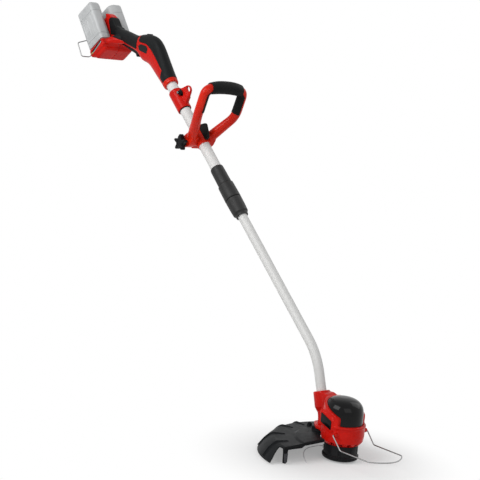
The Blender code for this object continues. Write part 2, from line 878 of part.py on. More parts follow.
def handle_covers(blank):
    """The black soft covers on the nose and on the grip, cut out of the same body as the shells."""
    front = plate("front_region", inset(FRONT_COVER, GAP), 60 * MM, SIDE)
    front = common(copy(blank, "front_cover"), front)
    grip = plate("grip_region", inset(GRIP_COVER, GAP), 60 * MM, SIDE)
    grip = common(copy(blank, "grip_cover"), grip)
    front = cut(front, tube_bore(), lead_duct(), button_pocket())
    grip = cut(grip, trigger_slot())
    finish(front, RUBBER)
    finish(grip, RUBBER)


def tube_bore():
    return drum("bore", on_shaft(NOSE_RING_BOTTOM), on_shaft(UPPER_TUBE_TOP + GAP), UPPER_TUBE_R + GAP, 32)


def lead_duct():
    points = rounded(lead_route()[-3:], 12 * MM, 3, closed=False)
    start = points[0] + (points[0] - on_shaft(UPPER_TUBE_TOP + 20 * MM)) * 0.2
    return swept("duct", [start, *points], LEAD_R + 2 * MM, 2)


def button_pocket():
    return box("pocket", (-877.3 * MM, -5.3 * MM, 926 * MM), (-858.7 * MM, 5.3 * MM, 960 * MM))


def trigger_slot():
    return plate("slot", TRIGGER_SLOT, 17.2 * MM, SIDE)


def handle_shells(blank):
    shell = cut(
        blank,
        plate("front_region", FRONT_COVER, 60 * MM, SIDE),
        plate("grip_region", GRIP_COVER, 60 * MM, SIDE),
        tube_bore(),
        lead_duct(),
        trigger_slot(),
        box("switch_pocket", (-897 * MM, -7.3 * MM, 882 * MM), (-865.7 * MM, 7.3 * MM, 900.3 * MM)),
        box(
            "board_pocket",
            (-294 * MM, -28 * MM, TRAY_TOP - 19 * MM),
            (-250 * MM, 28 * MM, TRAY_TOP - 9 * MM),
            PACK,
        ),
    )
    for piece in halves(shell, "handle_shell_left", "handle_shell_right"):
        finish(piece, RED)


def nose_ring():
    bore = UPPER_TUBE_R + GAP
    profile = [
        (23 * MM, NOSE_RING_TOP - GAP),
        (23 * MM, NOSE_RING_TOP - 4 * MM),
        (21.8 * MM, NOSE_RING_TOP - 5 * MM),
        (22.5 * MM, NOSE_RING_TOP - 6.5 * MM),
        (21.5 * MM, NOSE_RING_BOTTOM + 1 * MM),
        (19.5 * MM, NOSE_RING_BOTTOM),
        (bore, NOSE_RING_BOTTOM),
        (bore, NOSE_RING_TOP - GAP),
    ]
    return finish(turned("nose_ring", profile, SHAFT, 20), RED)


def side_plate():
    """The bare plate on the right of the handle's body."""
    outline = rounded(scaled([(-892, 905), (-887, 896), (-855, 890), (-852, 902), (-882, 908)]), 2 * MM, 2)
    place = Matrix.Translation((0, -18.9 * MM, 0)) @ SIDE
    return finish(plate("side_plate", outline, 1.2 * MM, place), BLACK)


def trigger():
    outline = scaled(
        [
            (-993, 914),
            (-991, 910),
            (-971, 905),
            (-942, 896),
            (-913, 888),
            (-911, 880),
            (-904, 879),
            (-902, 896),
            (-945, 909),
            (-985, 918),
        ]
    )
    lever = soften(plate("trigger", rounded(outline, 3 * MM, 2), 16.4 * MM, SIDE), 1.5 * MM, 1)
    return finish(lever, BLACK, TRIGGER_PIVOT)


def trigger_switch():
    low = (-896.6 * MM, -7 * MM, 882.3 * MM)
    return finish(soften(box("trigger_switch", low, (-866 * MM, 7 * MM, 900 * MM)), 1 * MM), BLACK)


def lock_button():
    button = box("lock_button", (-877 * MM, -5 * MM, 930 * MM), (-859 * MM, 5 * MM, 941.5 * MM))
    return finish(soften(button, 2 * MM, 1), BLACK, Vector((-868 * MM, 0, 930 * MM)))


def control_board():
    low = (-292 * MM, -26 * MM, TRAY_TOP - 18.7 * MM)
    return finish(box("control_board", low, (-252 * MM, 26 * MM, TRAY_TOP - 16.7 * MM), PACK), BOARD_GREEN)


def tray_strip():
    """The metal strip in the tray's right flank."""
    outline = [
        (TRAY_FRONT - 9 * MM, TRAY_TOP - 10 * MM),
        (TRAY_FRONT - 9 * MM, TRAY_TOP - 4.5 * MM),
        (TRAY_REAR + 8 * MM, TRAY_TOP - 12.5 * MM),
        (TRAY_REAR + 8 * MM, TRAY_TOP - 17 * MM),
    ]
    place = Matrix.Translation((0, -TRAY_HALF_WIDTH - 0.9 * MM, 0)) @ PACK @ SIDE
    return finish(plate("tray_strip", outline, 1.2 * MM, place), STEEL)


def hook_wire():
    """The wire hook behind the right-hand pack. The tool hangs from it."""
    rear = TRAY_REAR - GAP
    route = [
        on_pack(rear, -48 * MM, TRAY_TOP - 10 * MM),
        on_pack(rear - 12 * MM, -50 * MM, TRAY_TOP - 11 * MM),
        on_pack(rear - 12 * MM, -77 * MM, TRAY_TOP - 11 * MM),
        on_pack(rear - 9 * MM, -77 * MM, TRAY_TOP + 33 * MM),
        on_pack(rear - 12 * MM, -28 * MM, TRAY_TOP + 50 * MM),
        on_pack(rear - 12 * MM, -24 * MM, TRAY_TOP - 11 * MM),
        on_pack(rear, -24 * MM, TRAY_TOP - 11 * MM),
    ]
    return finish(swept("hook_wire", rounded(route, 5 * MM, 2, closed=False), WIRE_R, 2), STEEL)


# Battery packs


def rail(name, side):
    """A T rail on the post. The pack's channel slides over it."""
    bottom = TRAY_TOP + 4 * MM
    top = bottom + RAIL_LENGTH
    near = CARRIER_HALF_WIDTH + GAP
    wide = RAIL_HALF_WIDTH + 2 * MM
    web = box(
        name,
        (RAIL_DEPTH - RAIL_HALF_WIDTH, side * near, bottom),
        (RAIL_DEPTH + RAIL_HALF_WIDTH, side * 17 * MM, top),
        PACK,
    )
    head = box("head", (RAIL_DEPTH - wide, side * 15.6 * MM, bottom), (RAIL_DEPTH + wide, side * 19 * MM, top), PACK)
    return finish(join(web, head), BLACK)


def terminal_block(name, side):
    rear = RAIL_DEPTH - 6 * MM
    front = RAIL_DEPTH + 6 * MM
    low = (rear, side * 23 * MM, TRAY_TOP + GAP)
    block = box(name, low, (front, side * 49 * MM, TRAY_TOP + 3 * MM), PACK)
    for index in range(4):
        near = side * (27 + 5.5 * index) * MM
        blade = box(
            "blade",
            (rear + 1 * MM, near, TRAY_TOP + 2 * MM),
            (front - 1 * MM, near + side * 1.2 * MM, TRAY_TOP + 9 * MM),
            PACK,
        )
        block = join(block, blade)
    return finish(block, COPPER)


def pack_case(name, side):
    """A battery pack with chamfered shoulders, ribbed flanks and the channel for its rail."""
    foot = TRAY_TOP + 2 * GAP
    top = TRAY_TOP + PACK_HEIGHT
    rear = PACK_FRONT - PACK_DEPTH
    outline = [
        (rear, foot),
        (PACK_FRONT, foot),
        (PACK_FRONT, top),
        (rear + 9 * MM, top - 2 * MM),
        (rear, top - 9 * MM),
    ]
    middle = side * (PACK_INNER + PACK_OUTER) / 2
    place = Matrix.Translation((0, middle, 0)) @ PACK @ SIDE
    case = plate(name, rounded(outline, 5 * MM, 2), PACK_OUTER - PACK_INNER, place)
    shoulder = [
        (PACK_FRONT - PACK_CHAMFER, side * PACK_INNER),
        (PACK_FRONT, side * (PACK_INNER + PACK_CHAMFER)),
        (PACK_FRONT + 20 * MM, side * (PACK_INNER + PACK_CHAMFER)),
        (PACK_FRONT + 20 * MM, side * (PACK_INNER - 20 * MM)),
        (PACK_FRONT - PACK_CHAMFER, side * (PACK_INNER - 20 * MM)),
    ]
    middle_height = Matrix.Translation((0, 0, TRAY_TOP + PACK_HEIGHT / 2))
    case = cut(case, plate("shoulder", shoulder, PACK_HEIGHT + 40 * MM, PACK @ middle_height))
    case = soften(case, 3.5 * MM, 2, 40)
    rail_top = TRAY_TOP + 4 * MM + RAIL_LENGTH + 2 * MM
    mouth = foot - 5 * MM
    reach = side * (PACK_INNER - 5 * MM)
    neck = box(
        "neck",
        (RAIL_DEPTH - RAIL_HALF_WIDTH - 0.4 * MM, reach, mouth),
        (RAIL_DEPTH + RAIL_HALF_WIDTH + 0.4 * MM, side * 17 * MM, rail_top - 1 * MM),
        PACK,
    )
    channel = box(
        "channel",
        (RAIL_DEPTH - RAIL_HALF_WIDTH - 2.4 * MM, side * 15.2 * MM, mouth),
        (RAIL_DEPTH + RAIL_HALF_WIDTH + 2.4 * MM, side * 19.4 * MM, rail_top),
        PACK,
    )
    socket = box(
        "socket",
        (RAIL_DEPTH - 8 * MM, side * 21.4 * MM, mouth),
        (RAIL_DEPTH + 8 * MM, side * 51 * MM, TRAY_TOP + 11 * MM),
        PACK,
    )
    well = box(
        "well",
        (-283.4 * MM, side * 24.6 * MM, top - 12 * MM),
        (-260.6 * MM, side * 45.4 * MM, top + 9 * MM),
        PACK,
    )
    case = cut(case, neck, channel, socket, well)
    for depth in (-295, -273, -251):
        start = on_pack(depth * MM, side * (PACK_OUTER + 1 * MM), foot + 14 * MM)
        end = on_pack(depth * MM, side * (PACK_OUTER + 1 * MM), top - 26 * MM)
        case = cut(case, drum("flute", start, end, 3 * MM, 8))
    return finish(case, PACK_GREY, on_pack(PACK_FRONT, side * PACK_INNER, foot))


def pack_button(name, side):
    top = TRAY_TOP + PACK_HEIGHT
    low = (-283 * MM, side * 25 * MM, top - 7 * MM)
    button = box(name, low, (-261 * MM, side * 45 * MM, top + 1 * MM), PACK)
    return finish(soften(button, 1.5 * MM, 1), BLACK, on_pack(-272 * MM, side * 35 * MM, top))


# Motor head


def cap_profile(grow=0.0):
    """The motor cap's outside, from its top down."""
    dome = [(0, 0), (0.33, 0.8), (0.58, 3.5), (0.77, 8), (0.91, 15), (0.98, 23), (1, 33)]
    return [(CAP_R * share + (grow if share else 0), CAP_TOP - drop * MM + grow) for share, drop in dome]


def motor_cap():
    outer = [*cap_profile(), (CAP_R, 64 * MM)]
    inner = [(max(radius - CAP_WALL, 0), height - CAP_WALL) for radius, height in reversed(cap_profile()[::2])]
    profile = [*outer, (CAP_R - CAP_WALL, 64 * MM), *inner]
    height = lead_route()[0].z + 6 * MM
    notch = box("notch", (-50 * MM, -6 * MM, 50 * MM), (-30 * MM, 6 * MM, height))
    return finish(cut(turned("motor_cap", profile), notch), BLACK)


def motor():
    profile = [
        (20 * MM, 106 * MM),
        (MOTOR_R, 103 * MM),
        (MOTOR_R, 44.8 * MM),
        (12 * MM, 44.8 * MM),
        (12 * MM, 41 * MM),
        (DRIVE_SHAFT_R + GAP, 41 * MM),
        (DRIVE_SHAFT_R + GAP, 106 * MM),
    ]
    return finish(turned("motor", profile, steps=16), STEEL)


def housing_blank():
    """The red head housing before it is split: bowl, saddle around the cap, spine, socket and lugs."""
    bowl = turned(
        "blank",
        [
            (0, HOUSING_RIM),
            (HOUSING_R - 0.5 * MM, HOUSING_RIM),
            (HOUSING_R, HOUSING_RIM - 2 * MM),
            (HOUSING_R, 62 * MM),
            (HOUSING_R - 2.5 * MM, 48 * MM),
            (SPOOL_R + 1 * MM, HOUSING_BOTTOM),
            (0, HOUSING_BOTTOM),
        ],
    )
    saddle = turned(
        "saddle",
        [
            (0, 150 * MM),
            (HOUSING_R - 3 * MM, 150 * MM),
            (HOUSING_R - 0.3 * MM, 110 * MM),
            (HOUSING_R - 0.3 * MM, 80 * MM),
            (0, 80 * MM),
        ],
    )
    saddle_outline = scaled([(24.7, 79), (24.7, 108), (-16, 129), (-38, 140), (-60, 143), (-60, 79)])
    saddle = common(saddle, plate("saddle_region", saddle_outline, 120 * MM, SIDE))
    spine_outline = scaled(
        [(-30, 52), (-38, 138), (-54, 145), (-78, 143), (-84, 122), (-75, 104), (-70, 88), (-66, 61), (-52, 60.5)]
    )
    spine = soften(plate("spine", rounded(spine_outline, 4 * MM, 2), 34 * MM, SIDE), 4 * MM, 2, 50)
    tongue_outline = scaled([(-40, -34), (-40, 34), (-60, 30), (-84, 12), (-86, 0), (-84, -12), (-60, -30)])
    tongue = plate("tongue", tongue_outline, 10 * MM, Matrix.Translation((0, 0, 65 * MM)))
    foot = NECK_FOOT - up_the_neck() * 2 * MM
    mouth = NECK_FOOT + up_the_neck() * 41 * MM
    socket = soften(drum("socket", foot, mouth, SOCKET_R + 2 * MM, 24, SOCKET_R), 2 * MM, 1, 50)
    pad = HOUSING_R + GAP
    pads = box("pads", (-28 * MM, -pad, 72 * MM), (13 * MM, pad, 108 * MM))
    blank = join(bowl, saddle, soften(pads, 2 * MM, 1), spine, soften(tongue, 3 * MM, 1), socket)
    for side in (-1, 1):
        x, y, z = WIRE_PIVOT
        blank = join(blank, drum("lug", (x, side * 40 * MM, z), (x, side * (y - 3.6 * MM), z), 5.5 * MM, 12))
    return blank


def motor_housing():
    cavity = turned(
        "cavity",
        [
            *cap_profile(GAP),
            (CAP_R + GAP, 62 * MM),
            (40 * MM, 47.5 * MM),
            (28 * MM, 44.5 * MM),
            (0, 44.5 * MM),
        ],
    )
    bearing_seat = drum("bearing_seat", (0, 0, 30 * MM), (0, 0, 50 * MM), 12.3 * MM)
    tube_hole = drum("hole", NECK_FOOT, NECK_FOOT + up_the_neck() * 80 * MM, LOWER_TUBE_R + GAP)
    duct = swept("duct", rounded(lead_route()[:4], 12 * MM, 2, closed=False), LEAD_R + 2 * MM, 2)
    blank = cut(housing_blank(), cavity, bearing_seat, tube_hole, duct)
    for index in range(7):
        angle = radians(-75 + 25 * index)
        slot = box("vent", (38 * MM, -3 * MM, 42.5 * MM), (62 * MM, 3 * MM, 45.5 * MM), Matrix.Rotation(angle, 4, "Z"))
        blank = cut(blank, slot)
    for side in (-1, 1):
        x, y, z = WIRE_PIVOT
        start = (x, side * (y - 9 * MM), z)
        blank = cut(blank, drum("hole", start, (x, side * (y + 9 * MM), z), WIRE_R + GAP, 8))
    for piece in halves(blank, "motor_housing_left", "motor_housing_right"):
        finish(piece, RED)


def head_plate():
    """The bare plate on the right of the motor housing."""
    outline = rounded(scaled([(-22, 91.5), (9.5, 80), (8.5, 97.5), (-23, 104.5)]), 2.5 * MM, 2)
    place = Matrix.Translation((0, -HOUSING_R - 2 * GAP - 0.6 * MM, 0)) @ SIDE
    return finish(plate("head_plate", outline, 1.2 * MM, place), BLACK)


def guard_profile():
    """The guard's upper surface from the housing out to the lip of its skirt."""
    fall = [(62, 51), (107, 47.5), (112, 44.5), (160, 42), (169, 37), (180, 26), (189, 13), (195, 4)]
    return [(GUARD_BACK, 51 * MM), *scaled(fall)]


def guard_section():
    """The profile with its wall's thickness below it."""
    upper = guard_profile()
    lower = []
    for index, (radius, height) in enumerate(upper):
        before = upper[max(index - 1, 0)]
        after = upper[min(index + 1, len(upper) - 1)]
        along = Vector((after[0] - before[0], after[1] - before[1])).normalized()
        lower.append((radius + along.y * GUARD_WALL, height - along.x * GUARD_WALL))
    lower[0] = (upper[0][0], lower[0][1])
    lower[-1] = (lower[-1][0], upper[-1][1])
    return [*upper, *reversed(lower)]


def guard_fan(near, far, steps):
    bm = bmesh.new()
    verts = [bm.verts.new(polar(radius, near, height)) for radius, height in guard_section()]
    face = bm.faces.new(verts)
    bmesh.ops.spin(bm, geom=[face, *face.edges, *face.verts], angle=far - near, steps=steps, axis=(0, 0, 1), cent=(0, 0, 0))
    return add_bmesh("guard", bm)


def radial_plate(name, outline, thickness, angle):
    """A plate that stands on a radius, with its outline in radius and height."""
    return plate(name, outline, thickness, Matrix.Rotation(angle, 4, "Z") @ SIDE)


def guard_rib(angle):
    upper = [point for point in guard_profile() if point[0] > 150 * MM]
    outline = [(132 * MM, 42 * MM), (134 * MM, 45.2 * MM)]
    for radius, height in upper[:-1]:
        outline.append((radius + 1.6 * MM, height + 2 * MM))
    outline.append((193 * MM, 11 * MM))
    for radius, height in reversed(upper[:-1]):
        outline.append((radius - 1.4 * MM, height - 1.4 * MM))
    return radial_plate("rib", outline, 2.6 * MM, angle)


def guard():
    fan = guard_fan(GUARD_NEAR, GUARD_FAR, 16)
    skirt_notch = plate(
        "notch",
        [
            polar(166 * MM, GUARD_NEAR + 0.2).xy,
            polar(166 * MM, GUARD_NEAR - radians(6)).xy,
            polar(215 * MM, GUARD_NEAR - radians(1)).xy,
            polar(230 * MM, GUARD_NEAR + 0.2).xy,
        ],
        90 * MM,
    )
    back = [(GUARD_BACK, 50 * MM), (GUARD_BACK, 44 * MM)]
    tab = [(150, 31), (151, 3), (154, 1), (162, 3), (164, 38)]
    near_wall = [*back, *scaled([(106, 37), (112, 31), *tab, (160, 41), (108, 46)])]
    far_wall = [*back, *scaled([(106, 37), (112, 33), (160, 31), (167, 38), (160, 41), (108, 46)])]
    fan = cut(fan, skirt_notch)
    fan = join(
        fan,
        radial_plate("near_wall", near_wall, 3 * MM, NEAR_WALL),
        radial_plate("far_wall", far_wall, 3 * MM, FAR_WALL),
    )
    for degrees in (247, 223, 196, 177, 150):
        fan = join(fan, guard_rib(radians(degrees)))
    boss = drum("boss", polar(119 * MM, radians(175), 42 * MM), polar(119 * MM, radians(175), 54 * MM), 7 * MM, 16, 5 * MM)
    shoe_back = HOUSING_R + 0.6 * MM
    shoe_outline = [polar(shoe_back, radians(158 + 44 * step / 6)).xy for step in range(7)]
    shoe_outline += [polar(86 * MM, radians(192)).xy, polar(86 * MM, radians(168)).xy]
    shoe = plate("shoe", shoe_outline, 11.5 * MM, Matrix.Translation((0, 0, 53.45 * MM)))
    return finish(join(fan, boss, shoe), BLACK)


def guard_screw(name, side):
    """A screw up through the guard into the housing's tongue."""
    place = Vector((-66 * MM, side * 9 * MM, 0))
    head = drum(name, place + Vector((0, 0, 44.4 * MM)), place + Vector((0, 0, 47 * MM)), 4 * MM, 12)
    return finish(head, STEEL)


def line_knife():
    outline = scaled([(152, 5), (161.5, 7), (162.5, 26), (152, 26)])
    knife = radial_plate("line_knife", outline, 1.2 * MM, NEAR_WALL)
    knife.data.transform(Matrix.Translation(polar(2.4 * MM, NEAR_WALL + pi / 2)))
    return finish(knife, STEEL)


def wire_guard():
    """The bent wire that swings down in front of the head to keep a distance."""
    x, y, z = WIRE_PIVOT
    front = [Vector((138 * MM, -56 * MM, 41 * MM))]
    for share in (-0.66, -0.33, 0, 0.33, 0.66):
        front.append(Vector(((139 + 26 * (1 - share**2)) * MM, 56 * share * MM, 41 * MM)))
    front.append(Vector((138 * MM, 56 * MM, 41 * MM)))
    route = [
        Vector((x, -(y - 8 * MM), z)),
        Vector((x, -y, z)),
        Vector((50.7 * MM, -56.8 * MM, 41 * MM)),
        *front,
        Vector((50.7 * MM, 56.8 * MM, 41 * MM)),
        Vector((x, y, z)),
        Vector((x, y - 8 * MM, z)),
    ]
    wire = swept("wire_guard", rounded(route, 3 * MM, 1, closed=False), WIRE_R, 2)
    return finish(wire, STEEL, Vector((x, 0, z)))


# Spool


def drive_shaft():
    return finish(drum("drive_shaft", (0, 0, 24 * MM), (0, 0, 105 * MM), DRIVE_SHAFT_R, 16), STEEL)


def spool_housing():
    """The spool's upper cup, fixed to the motor's shaft."""
    profile = [
        (SPOOL_R - 2 * MM, SPOOL_TOP),
        (SPOOL_R, SPOOL_TOP - 2 * MM),
        (SPOOL_R, 15 * MM),
        (SPOOL_R - 2.5 * MM, 15 * MM),
        (SPOOL_R - 2.5 * MM, SPOOL_TOP - 2.8 * MM),
        (DRIVE_SHAFT_R + GAP, SPOOL_TOP - 2.8 * MM),
        (DRIVE_SHAFT_R + GAP, SPOOL_TOP),
    ]
    cup = turned("spool_housing", profile, steps=20)
    start = polar(SPOOL_R - 6 * MM, EYELET_ANGLE, EYELET_HEIGHT)
    end = polar(SPOOL_R + 6 * MM, EYELET_ANGLE, EYELET_HEIGHT)
    return finish(cut(cup, drum("hole", start, end, 3.3 * MM, 12)), BLACK)


def spool_cover():
    """The wide flange that closes the spool from below."""
    profile = [
        (40.6 * MM, 14.7 * MM),
        (FLANGE_R, 13 * MM),
        (FLANGE_R, 8.5 * MM),
        (41 * MM, 5 * MM),
        (36 * MM, 2.4 * MM),
        (30 * MM, 2 * MM),
        (KNOB_BUTTON_R + 0.5 * MM, 2 * MM),
        (KNOB_BUTTON_R + 0.5 * MM, 4.4 * MM),
        (34.5 * MM, 4.4 * MM),
        (37.2 * MM, 8 * MM),
        (37.2 * MM, 14.7 * MM),
    ]
    return finish(turned("spool_cover", profile, steps=20), BLACK)


def line_reel():
    profile = [
        (REEL_R, 30 * MM),
        (REEL_R, 28 * MM),
        (14 * MM, 28 * MM),
        (14 * MM, 8 * MM),
        (REEL_R, 8 * MM),
        (REEL_R, 6 * MM),
        (8.8 * MM, 6 * MM),
        (8.8 * MM, 30 * MM),
    ]
    return finish(turned("line_reel", profile, steps=16), BLACK)


def line_winding():
    profile = [(30 * MM, 27.7 * MM), (30 * MM, 8.3 * MM), (14.3 * MM, 8.3 * MM), (14.3 * MM, 27.7 * MM)]
    return finish(turned("line_winding", profile, steps=16), NYLON)


def bump_knob():
    """The button under the head. Tapping it on the ground lifts the reel and feeds line."""
    profile = [
        (0, 16 * MM),
        (8.5 * MM, 16 * MM),
        (8.5 * MM, 5.7 * MM),
        (KNOB_BUTTON_R, 5.7 * MM),
        (KNOB_BUTTON_R, 2 * MM),
        (14 * MM, 0),
        (0, 0),
    ]
    return finish(turned("bump_knob", profile, steps=16), BLACK)


def bump_spring():
    """The coil above the reel that pushes it down again."""
    turns = 3
    count = 8
    bottom, top = 31.1 * MM, SPOOL_TOP - 2.8 * MM - 1.1 * MM
    points = []
    for step in range(turns * count + 1):
        angle = 2 * pi * step / count
        points.append(polar(12 * MM, angle, bottom + (top - bottom) * step / (turns * count)))
    return finish(swept("bump_spring", points, 0.7 * MM, 0), STEEL)


def line_eyelet():
    def place(radius):
        return polar(radius, EYELET_ANGLE, EYELET_HEIGHT)

    shank = drum("line_eyelet", place(SPOOL_R - 3 * MM), place(SPOOL_R + 1 * MM), 3 * MM, 10)
    flange = drum("flange", place(SPOOL_R + 0.4 * MM), place(SPOOL_R + 2 * MM), 4.6 * MM, 10)
    bore = drum("bore", place(SPOOL_R - 9 * MM), place(SPOOL_R + 9 * MM), LINE_R + 0.5 * MM, 8)
    return finish(cut(join(shank, flange), bore), STEEL)


def cutting_line():
    """The free end of nylon line, bent down by its own set."""
    start = polar(SPOOL_R + 2 * MM + GAP, EYELET_ANGLE, EYELET_HEIGHT)
    route = [
        start,
        start + polar(6 * MM, EYELET_ANGLE),
        Vector((-42.5, -39, 23.2)) * MM,
        Vector((-49.5, -57, 19)) * MM,
        Vector((-45, -73, 16)) * MM,
        Vector((-34, -87, 12.8)) * MM,
        Vector((-19, -98.5, 8.5)) * MM,
        Vector((-3, -107, 4)) * MM,
    ]
    return finish(swept("cutting_line", smooth(route, 3), LINE_R, 1), NYLON)


def build():
    for piece in (
        lower_tube,
        upper_tube,
        tube_bush,
        power_lead,
        lock_body,
        lock_nut,
        collet,
        strap_collar,
        collar_liner,
        collar_screw,
        handle_mount,
        mount_wedge,
        handle_loop,
        handle_grip,
        clamp_bolt,
        star_knob,
        nose_ring,
        side_plate,
        trigger,
        trigger_switch,
        lock_button,
        control_board,
        tray_strip,
        hook_wire,
    ):
        piece()
    blank = handle_blank()
    handle_covers(blank)
    handle_shells(blank)
    for name, side in (("left", 1), ("right", -1)):
        rail(f"rail_{name}", side)
        terminal_block(f"terminals_{name}", side)
        pack_case(f"pack_case_{name}", side)
        pack_button(f"pack_button_{name}", side)
        guard_screw(f"guard_screw_{name}", side)
    for piece in (
        motor_cap,
        motor,
        motor_housing,
        head_plate,
        guard,
        line_knife,
        wire_guard,
        drive_shaft,
        spool_housing,
        spool_cover,
        line_reel,
        line_winding,
        bump_knob,
        bump_spring,
        line_eyelet,
        cutting_line,
    ):
        piece()


build()
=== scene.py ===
# %% [markdown]
# # A cordless string trimmer
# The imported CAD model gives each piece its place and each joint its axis. This lesson dresses it. Round
# pieces are turned again with many more steps, moulded pieces get fillets and seams, and every surface
# gets a finish made of shader nodes. Lengths are written in millimetres and multiplied by MM.

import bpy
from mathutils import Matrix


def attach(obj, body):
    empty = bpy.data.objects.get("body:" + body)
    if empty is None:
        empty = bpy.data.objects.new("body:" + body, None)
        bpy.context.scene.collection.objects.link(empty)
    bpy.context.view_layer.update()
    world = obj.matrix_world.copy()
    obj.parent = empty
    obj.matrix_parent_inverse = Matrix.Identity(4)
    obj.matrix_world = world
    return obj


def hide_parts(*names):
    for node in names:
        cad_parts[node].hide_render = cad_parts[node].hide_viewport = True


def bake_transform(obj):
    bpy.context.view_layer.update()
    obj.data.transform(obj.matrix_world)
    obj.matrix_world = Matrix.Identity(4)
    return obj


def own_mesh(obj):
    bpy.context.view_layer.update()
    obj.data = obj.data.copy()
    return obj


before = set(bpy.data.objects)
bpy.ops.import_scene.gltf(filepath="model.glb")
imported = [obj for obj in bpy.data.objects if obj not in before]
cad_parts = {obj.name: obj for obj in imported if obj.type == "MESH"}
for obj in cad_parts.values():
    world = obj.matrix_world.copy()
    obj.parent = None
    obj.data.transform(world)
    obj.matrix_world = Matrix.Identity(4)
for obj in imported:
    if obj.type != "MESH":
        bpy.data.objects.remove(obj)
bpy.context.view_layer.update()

# %% [markdown]
# ## The camera
# The view is a long lens a little above the shaft, on the tool's right. The image is square, so the focal
# length follows from the field of view, and three unit vectors give the camera its turn.

# %% Place the camera
from math import cos, pi, radians, sin

import bmesh
import bpy
from mathutils import Matrix, Vector

MM = 0.001
IMAGE_SIDE = 480
FOCAL_PIXELS = 1299.7
EYE = Vector((1.992, -2.191, 0.904))
scene = bpy.context.scene
lens = bpy.data.cameras.new("view")
lens.sensor_width = 36
lens.lens = FOCAL_PIXELS * lens.sensor_width / IMAGE_SIDE
camera = bpy.data.objects.new("view", lens)
scene.collection.objects.link(camera)
axes = Matrix(((0.6586, -0.1694, 0.7332), (0.7460, 0.0189, -0.6657), (0.0989, 0.9854, 0.1388)))
camera.matrix_world = Matrix.Translation(EYE) @ axes.to_quaternion().to_matrix().to_4x4()
scene.camera = camera
scene.view_settings.view_transform = "Standard"
print("lens", round(lens.lens, 1), "mm")

# %% [markdown]
# ## Directions on the tool
# Three frames carry all the outlines. SHAFT has its z up the straight tube and its x out of it towards the
# top. PACK stands along the battery packs. SIDE lays an outline of forward and up into the side view.

# %% Name the frames
SHAFT_TILT = radians(42.3)
NECK_TILT = radians(71)
PACK_LEAN = radians(37.66)
BEND_R = 175
NECK_FOOT = Vector((-68.3, 0, 104))
NECK_LENGTH = 82.9
UP_NECK = Vector((-cos(NECK_TILT), 0, sin(NECK_TILT)))
SIDEWAYS = Vector((0, 1, 0))
BEND_CENTRE = NECK_FOOT + UP_NECK * NECK_LENGTH - Vector((sin(NECK_TILT), 0, cos(NECK_TILT))) * BEND_R


def bend_point(tilt):
    return BEND_CENTRE + Vector((sin(tilt), 0, cos(tilt))) * BEND_R


WORLD = Matrix()
SHAFT = Matrix.Translation(bend_point(SHAFT_TILT) * MM) @ Matrix.Rotation(SHAFT_TILT - pi / 2, 4, "Y")
PACK = Matrix.Rotation(-PACK_LEAN, 4, "Y")
SIDE = Matrix.Rotation(pi / 2, 4, "X")


def on_shaft(along, out=0.0, side=0.0):
    """A point in millimetres, by its place along, out of and beside the tube."""
    return (SHAFT @ (Vector((out, side, along)) * MM)) / MM


def on_pack(depth, side, height):
    return PACK @ Vector((depth, side, height))


print("shaft starts at", [round(value) for value in on_shaft(0)])

# %% [markdown]
# ## Smooth paths
# Outlines and wires are given by their corners. One helper turns each corner by a short curve, and the
# other reads points from one smooth curve through a route.

# %% Ease corners and smooth routes


def eased(corners, reach, steps=4, closed=True):
    """Turn each corner by a short curve that begins the given reach before it."""
    corners = [Vector(corner) for corner in corners]
    points = []
    for index, corner in enumerate(corners):
        if not closed and index in (0, len(corners) - 1):
            points.append(corner)
            continue
        before = corners[index - 1]
        after = corners[(index + 1) % len(corners)]
        size = min(reach, (before - corner).length * 0.49, (after - corner).length * 0.49)
        start = corner + (before - corner).normalized() * size
        end = corner + (after - corner).normalized() * size
        for step in range(steps + 1):
            share = step / steps
            points.append(start * (1 - share) ** 2 + corner * 2 * share * (1 - share) + end * share**2)
    return points


def smooth(route, pieces):
    """Points read from one smooth curve through the route."""
    route = [Vector(point) for point in route]
    ends = [route[0] * 2 - route[1], *route, route[-1] * 2 - route[-2]]
    points = []
    for before, start, end, after in zip(ends, ends[1:], ends[2:], ends[3:]):
        for piece in range(pieces):
            t = piece / pieces
            bow = (before * 2 - start * 5 + end * 4 - after) * t**2
            lean = (start * 3 - before - end * 3 + after) * t**3
            points.append((start * 2 + (end - before) * t + bow + lean) * 0.5)
    points.append(route[-1])
    return points


def polar(radius, degrees, height=0.0):
    return Vector((radius * cos(radians(degrees)), radius * sin(radians(degrees)), height))


# %% [markdown]
# ## The workshop
# A turned piece is an outline spun round, a slab is an outline stood up with its edges bevelled, and a bar
# is a curve with a round section. Settling an object puts its modifiers into its mesh. A piece's place is
# in its mesh too, so no object is moved.

# %% Turn, stand up and sweep
WELD = 0.002 * MM
TOUCH = 0.001 * MM
HALF_GAP = 0.15 * MM


def link(name, data):
    obj = bpy.data.objects.new(name, data)
    scene.collection.objects.link(obj)
    return obj


def keep(bm, name, place=WORLD):
    """Close a bmesh into an object whose place is in its mesh."""
    bm.transform(place)
    mesh = bpy.data.meshes.new(name)
    bm.to_mesh(mesh)
    bm.free()
    return link(name, mesh)


def settle(obj):
    """Put the modifiers' result into the object's own mesh, welded."""
    graph = bpy.context.evaluated_depsgraph_get()
    mesh = bpy.data.meshes.new_from_object(obj.evaluated_get(graph))
    bm = bmesh.new()
    bm.from_mesh(mesh)
    bmesh.ops.remove_doubles(bm, verts=bm.verts, dist=WELD)
    bm.to_mesh(mesh)
    bm.free()
    if obj.type == "MESH":
        obj.modifiers.clear()
        obj.data = mesh
        return obj
    name = obj.name
    bpy.data.objects.remove(obj)
    return link(name, mesh)


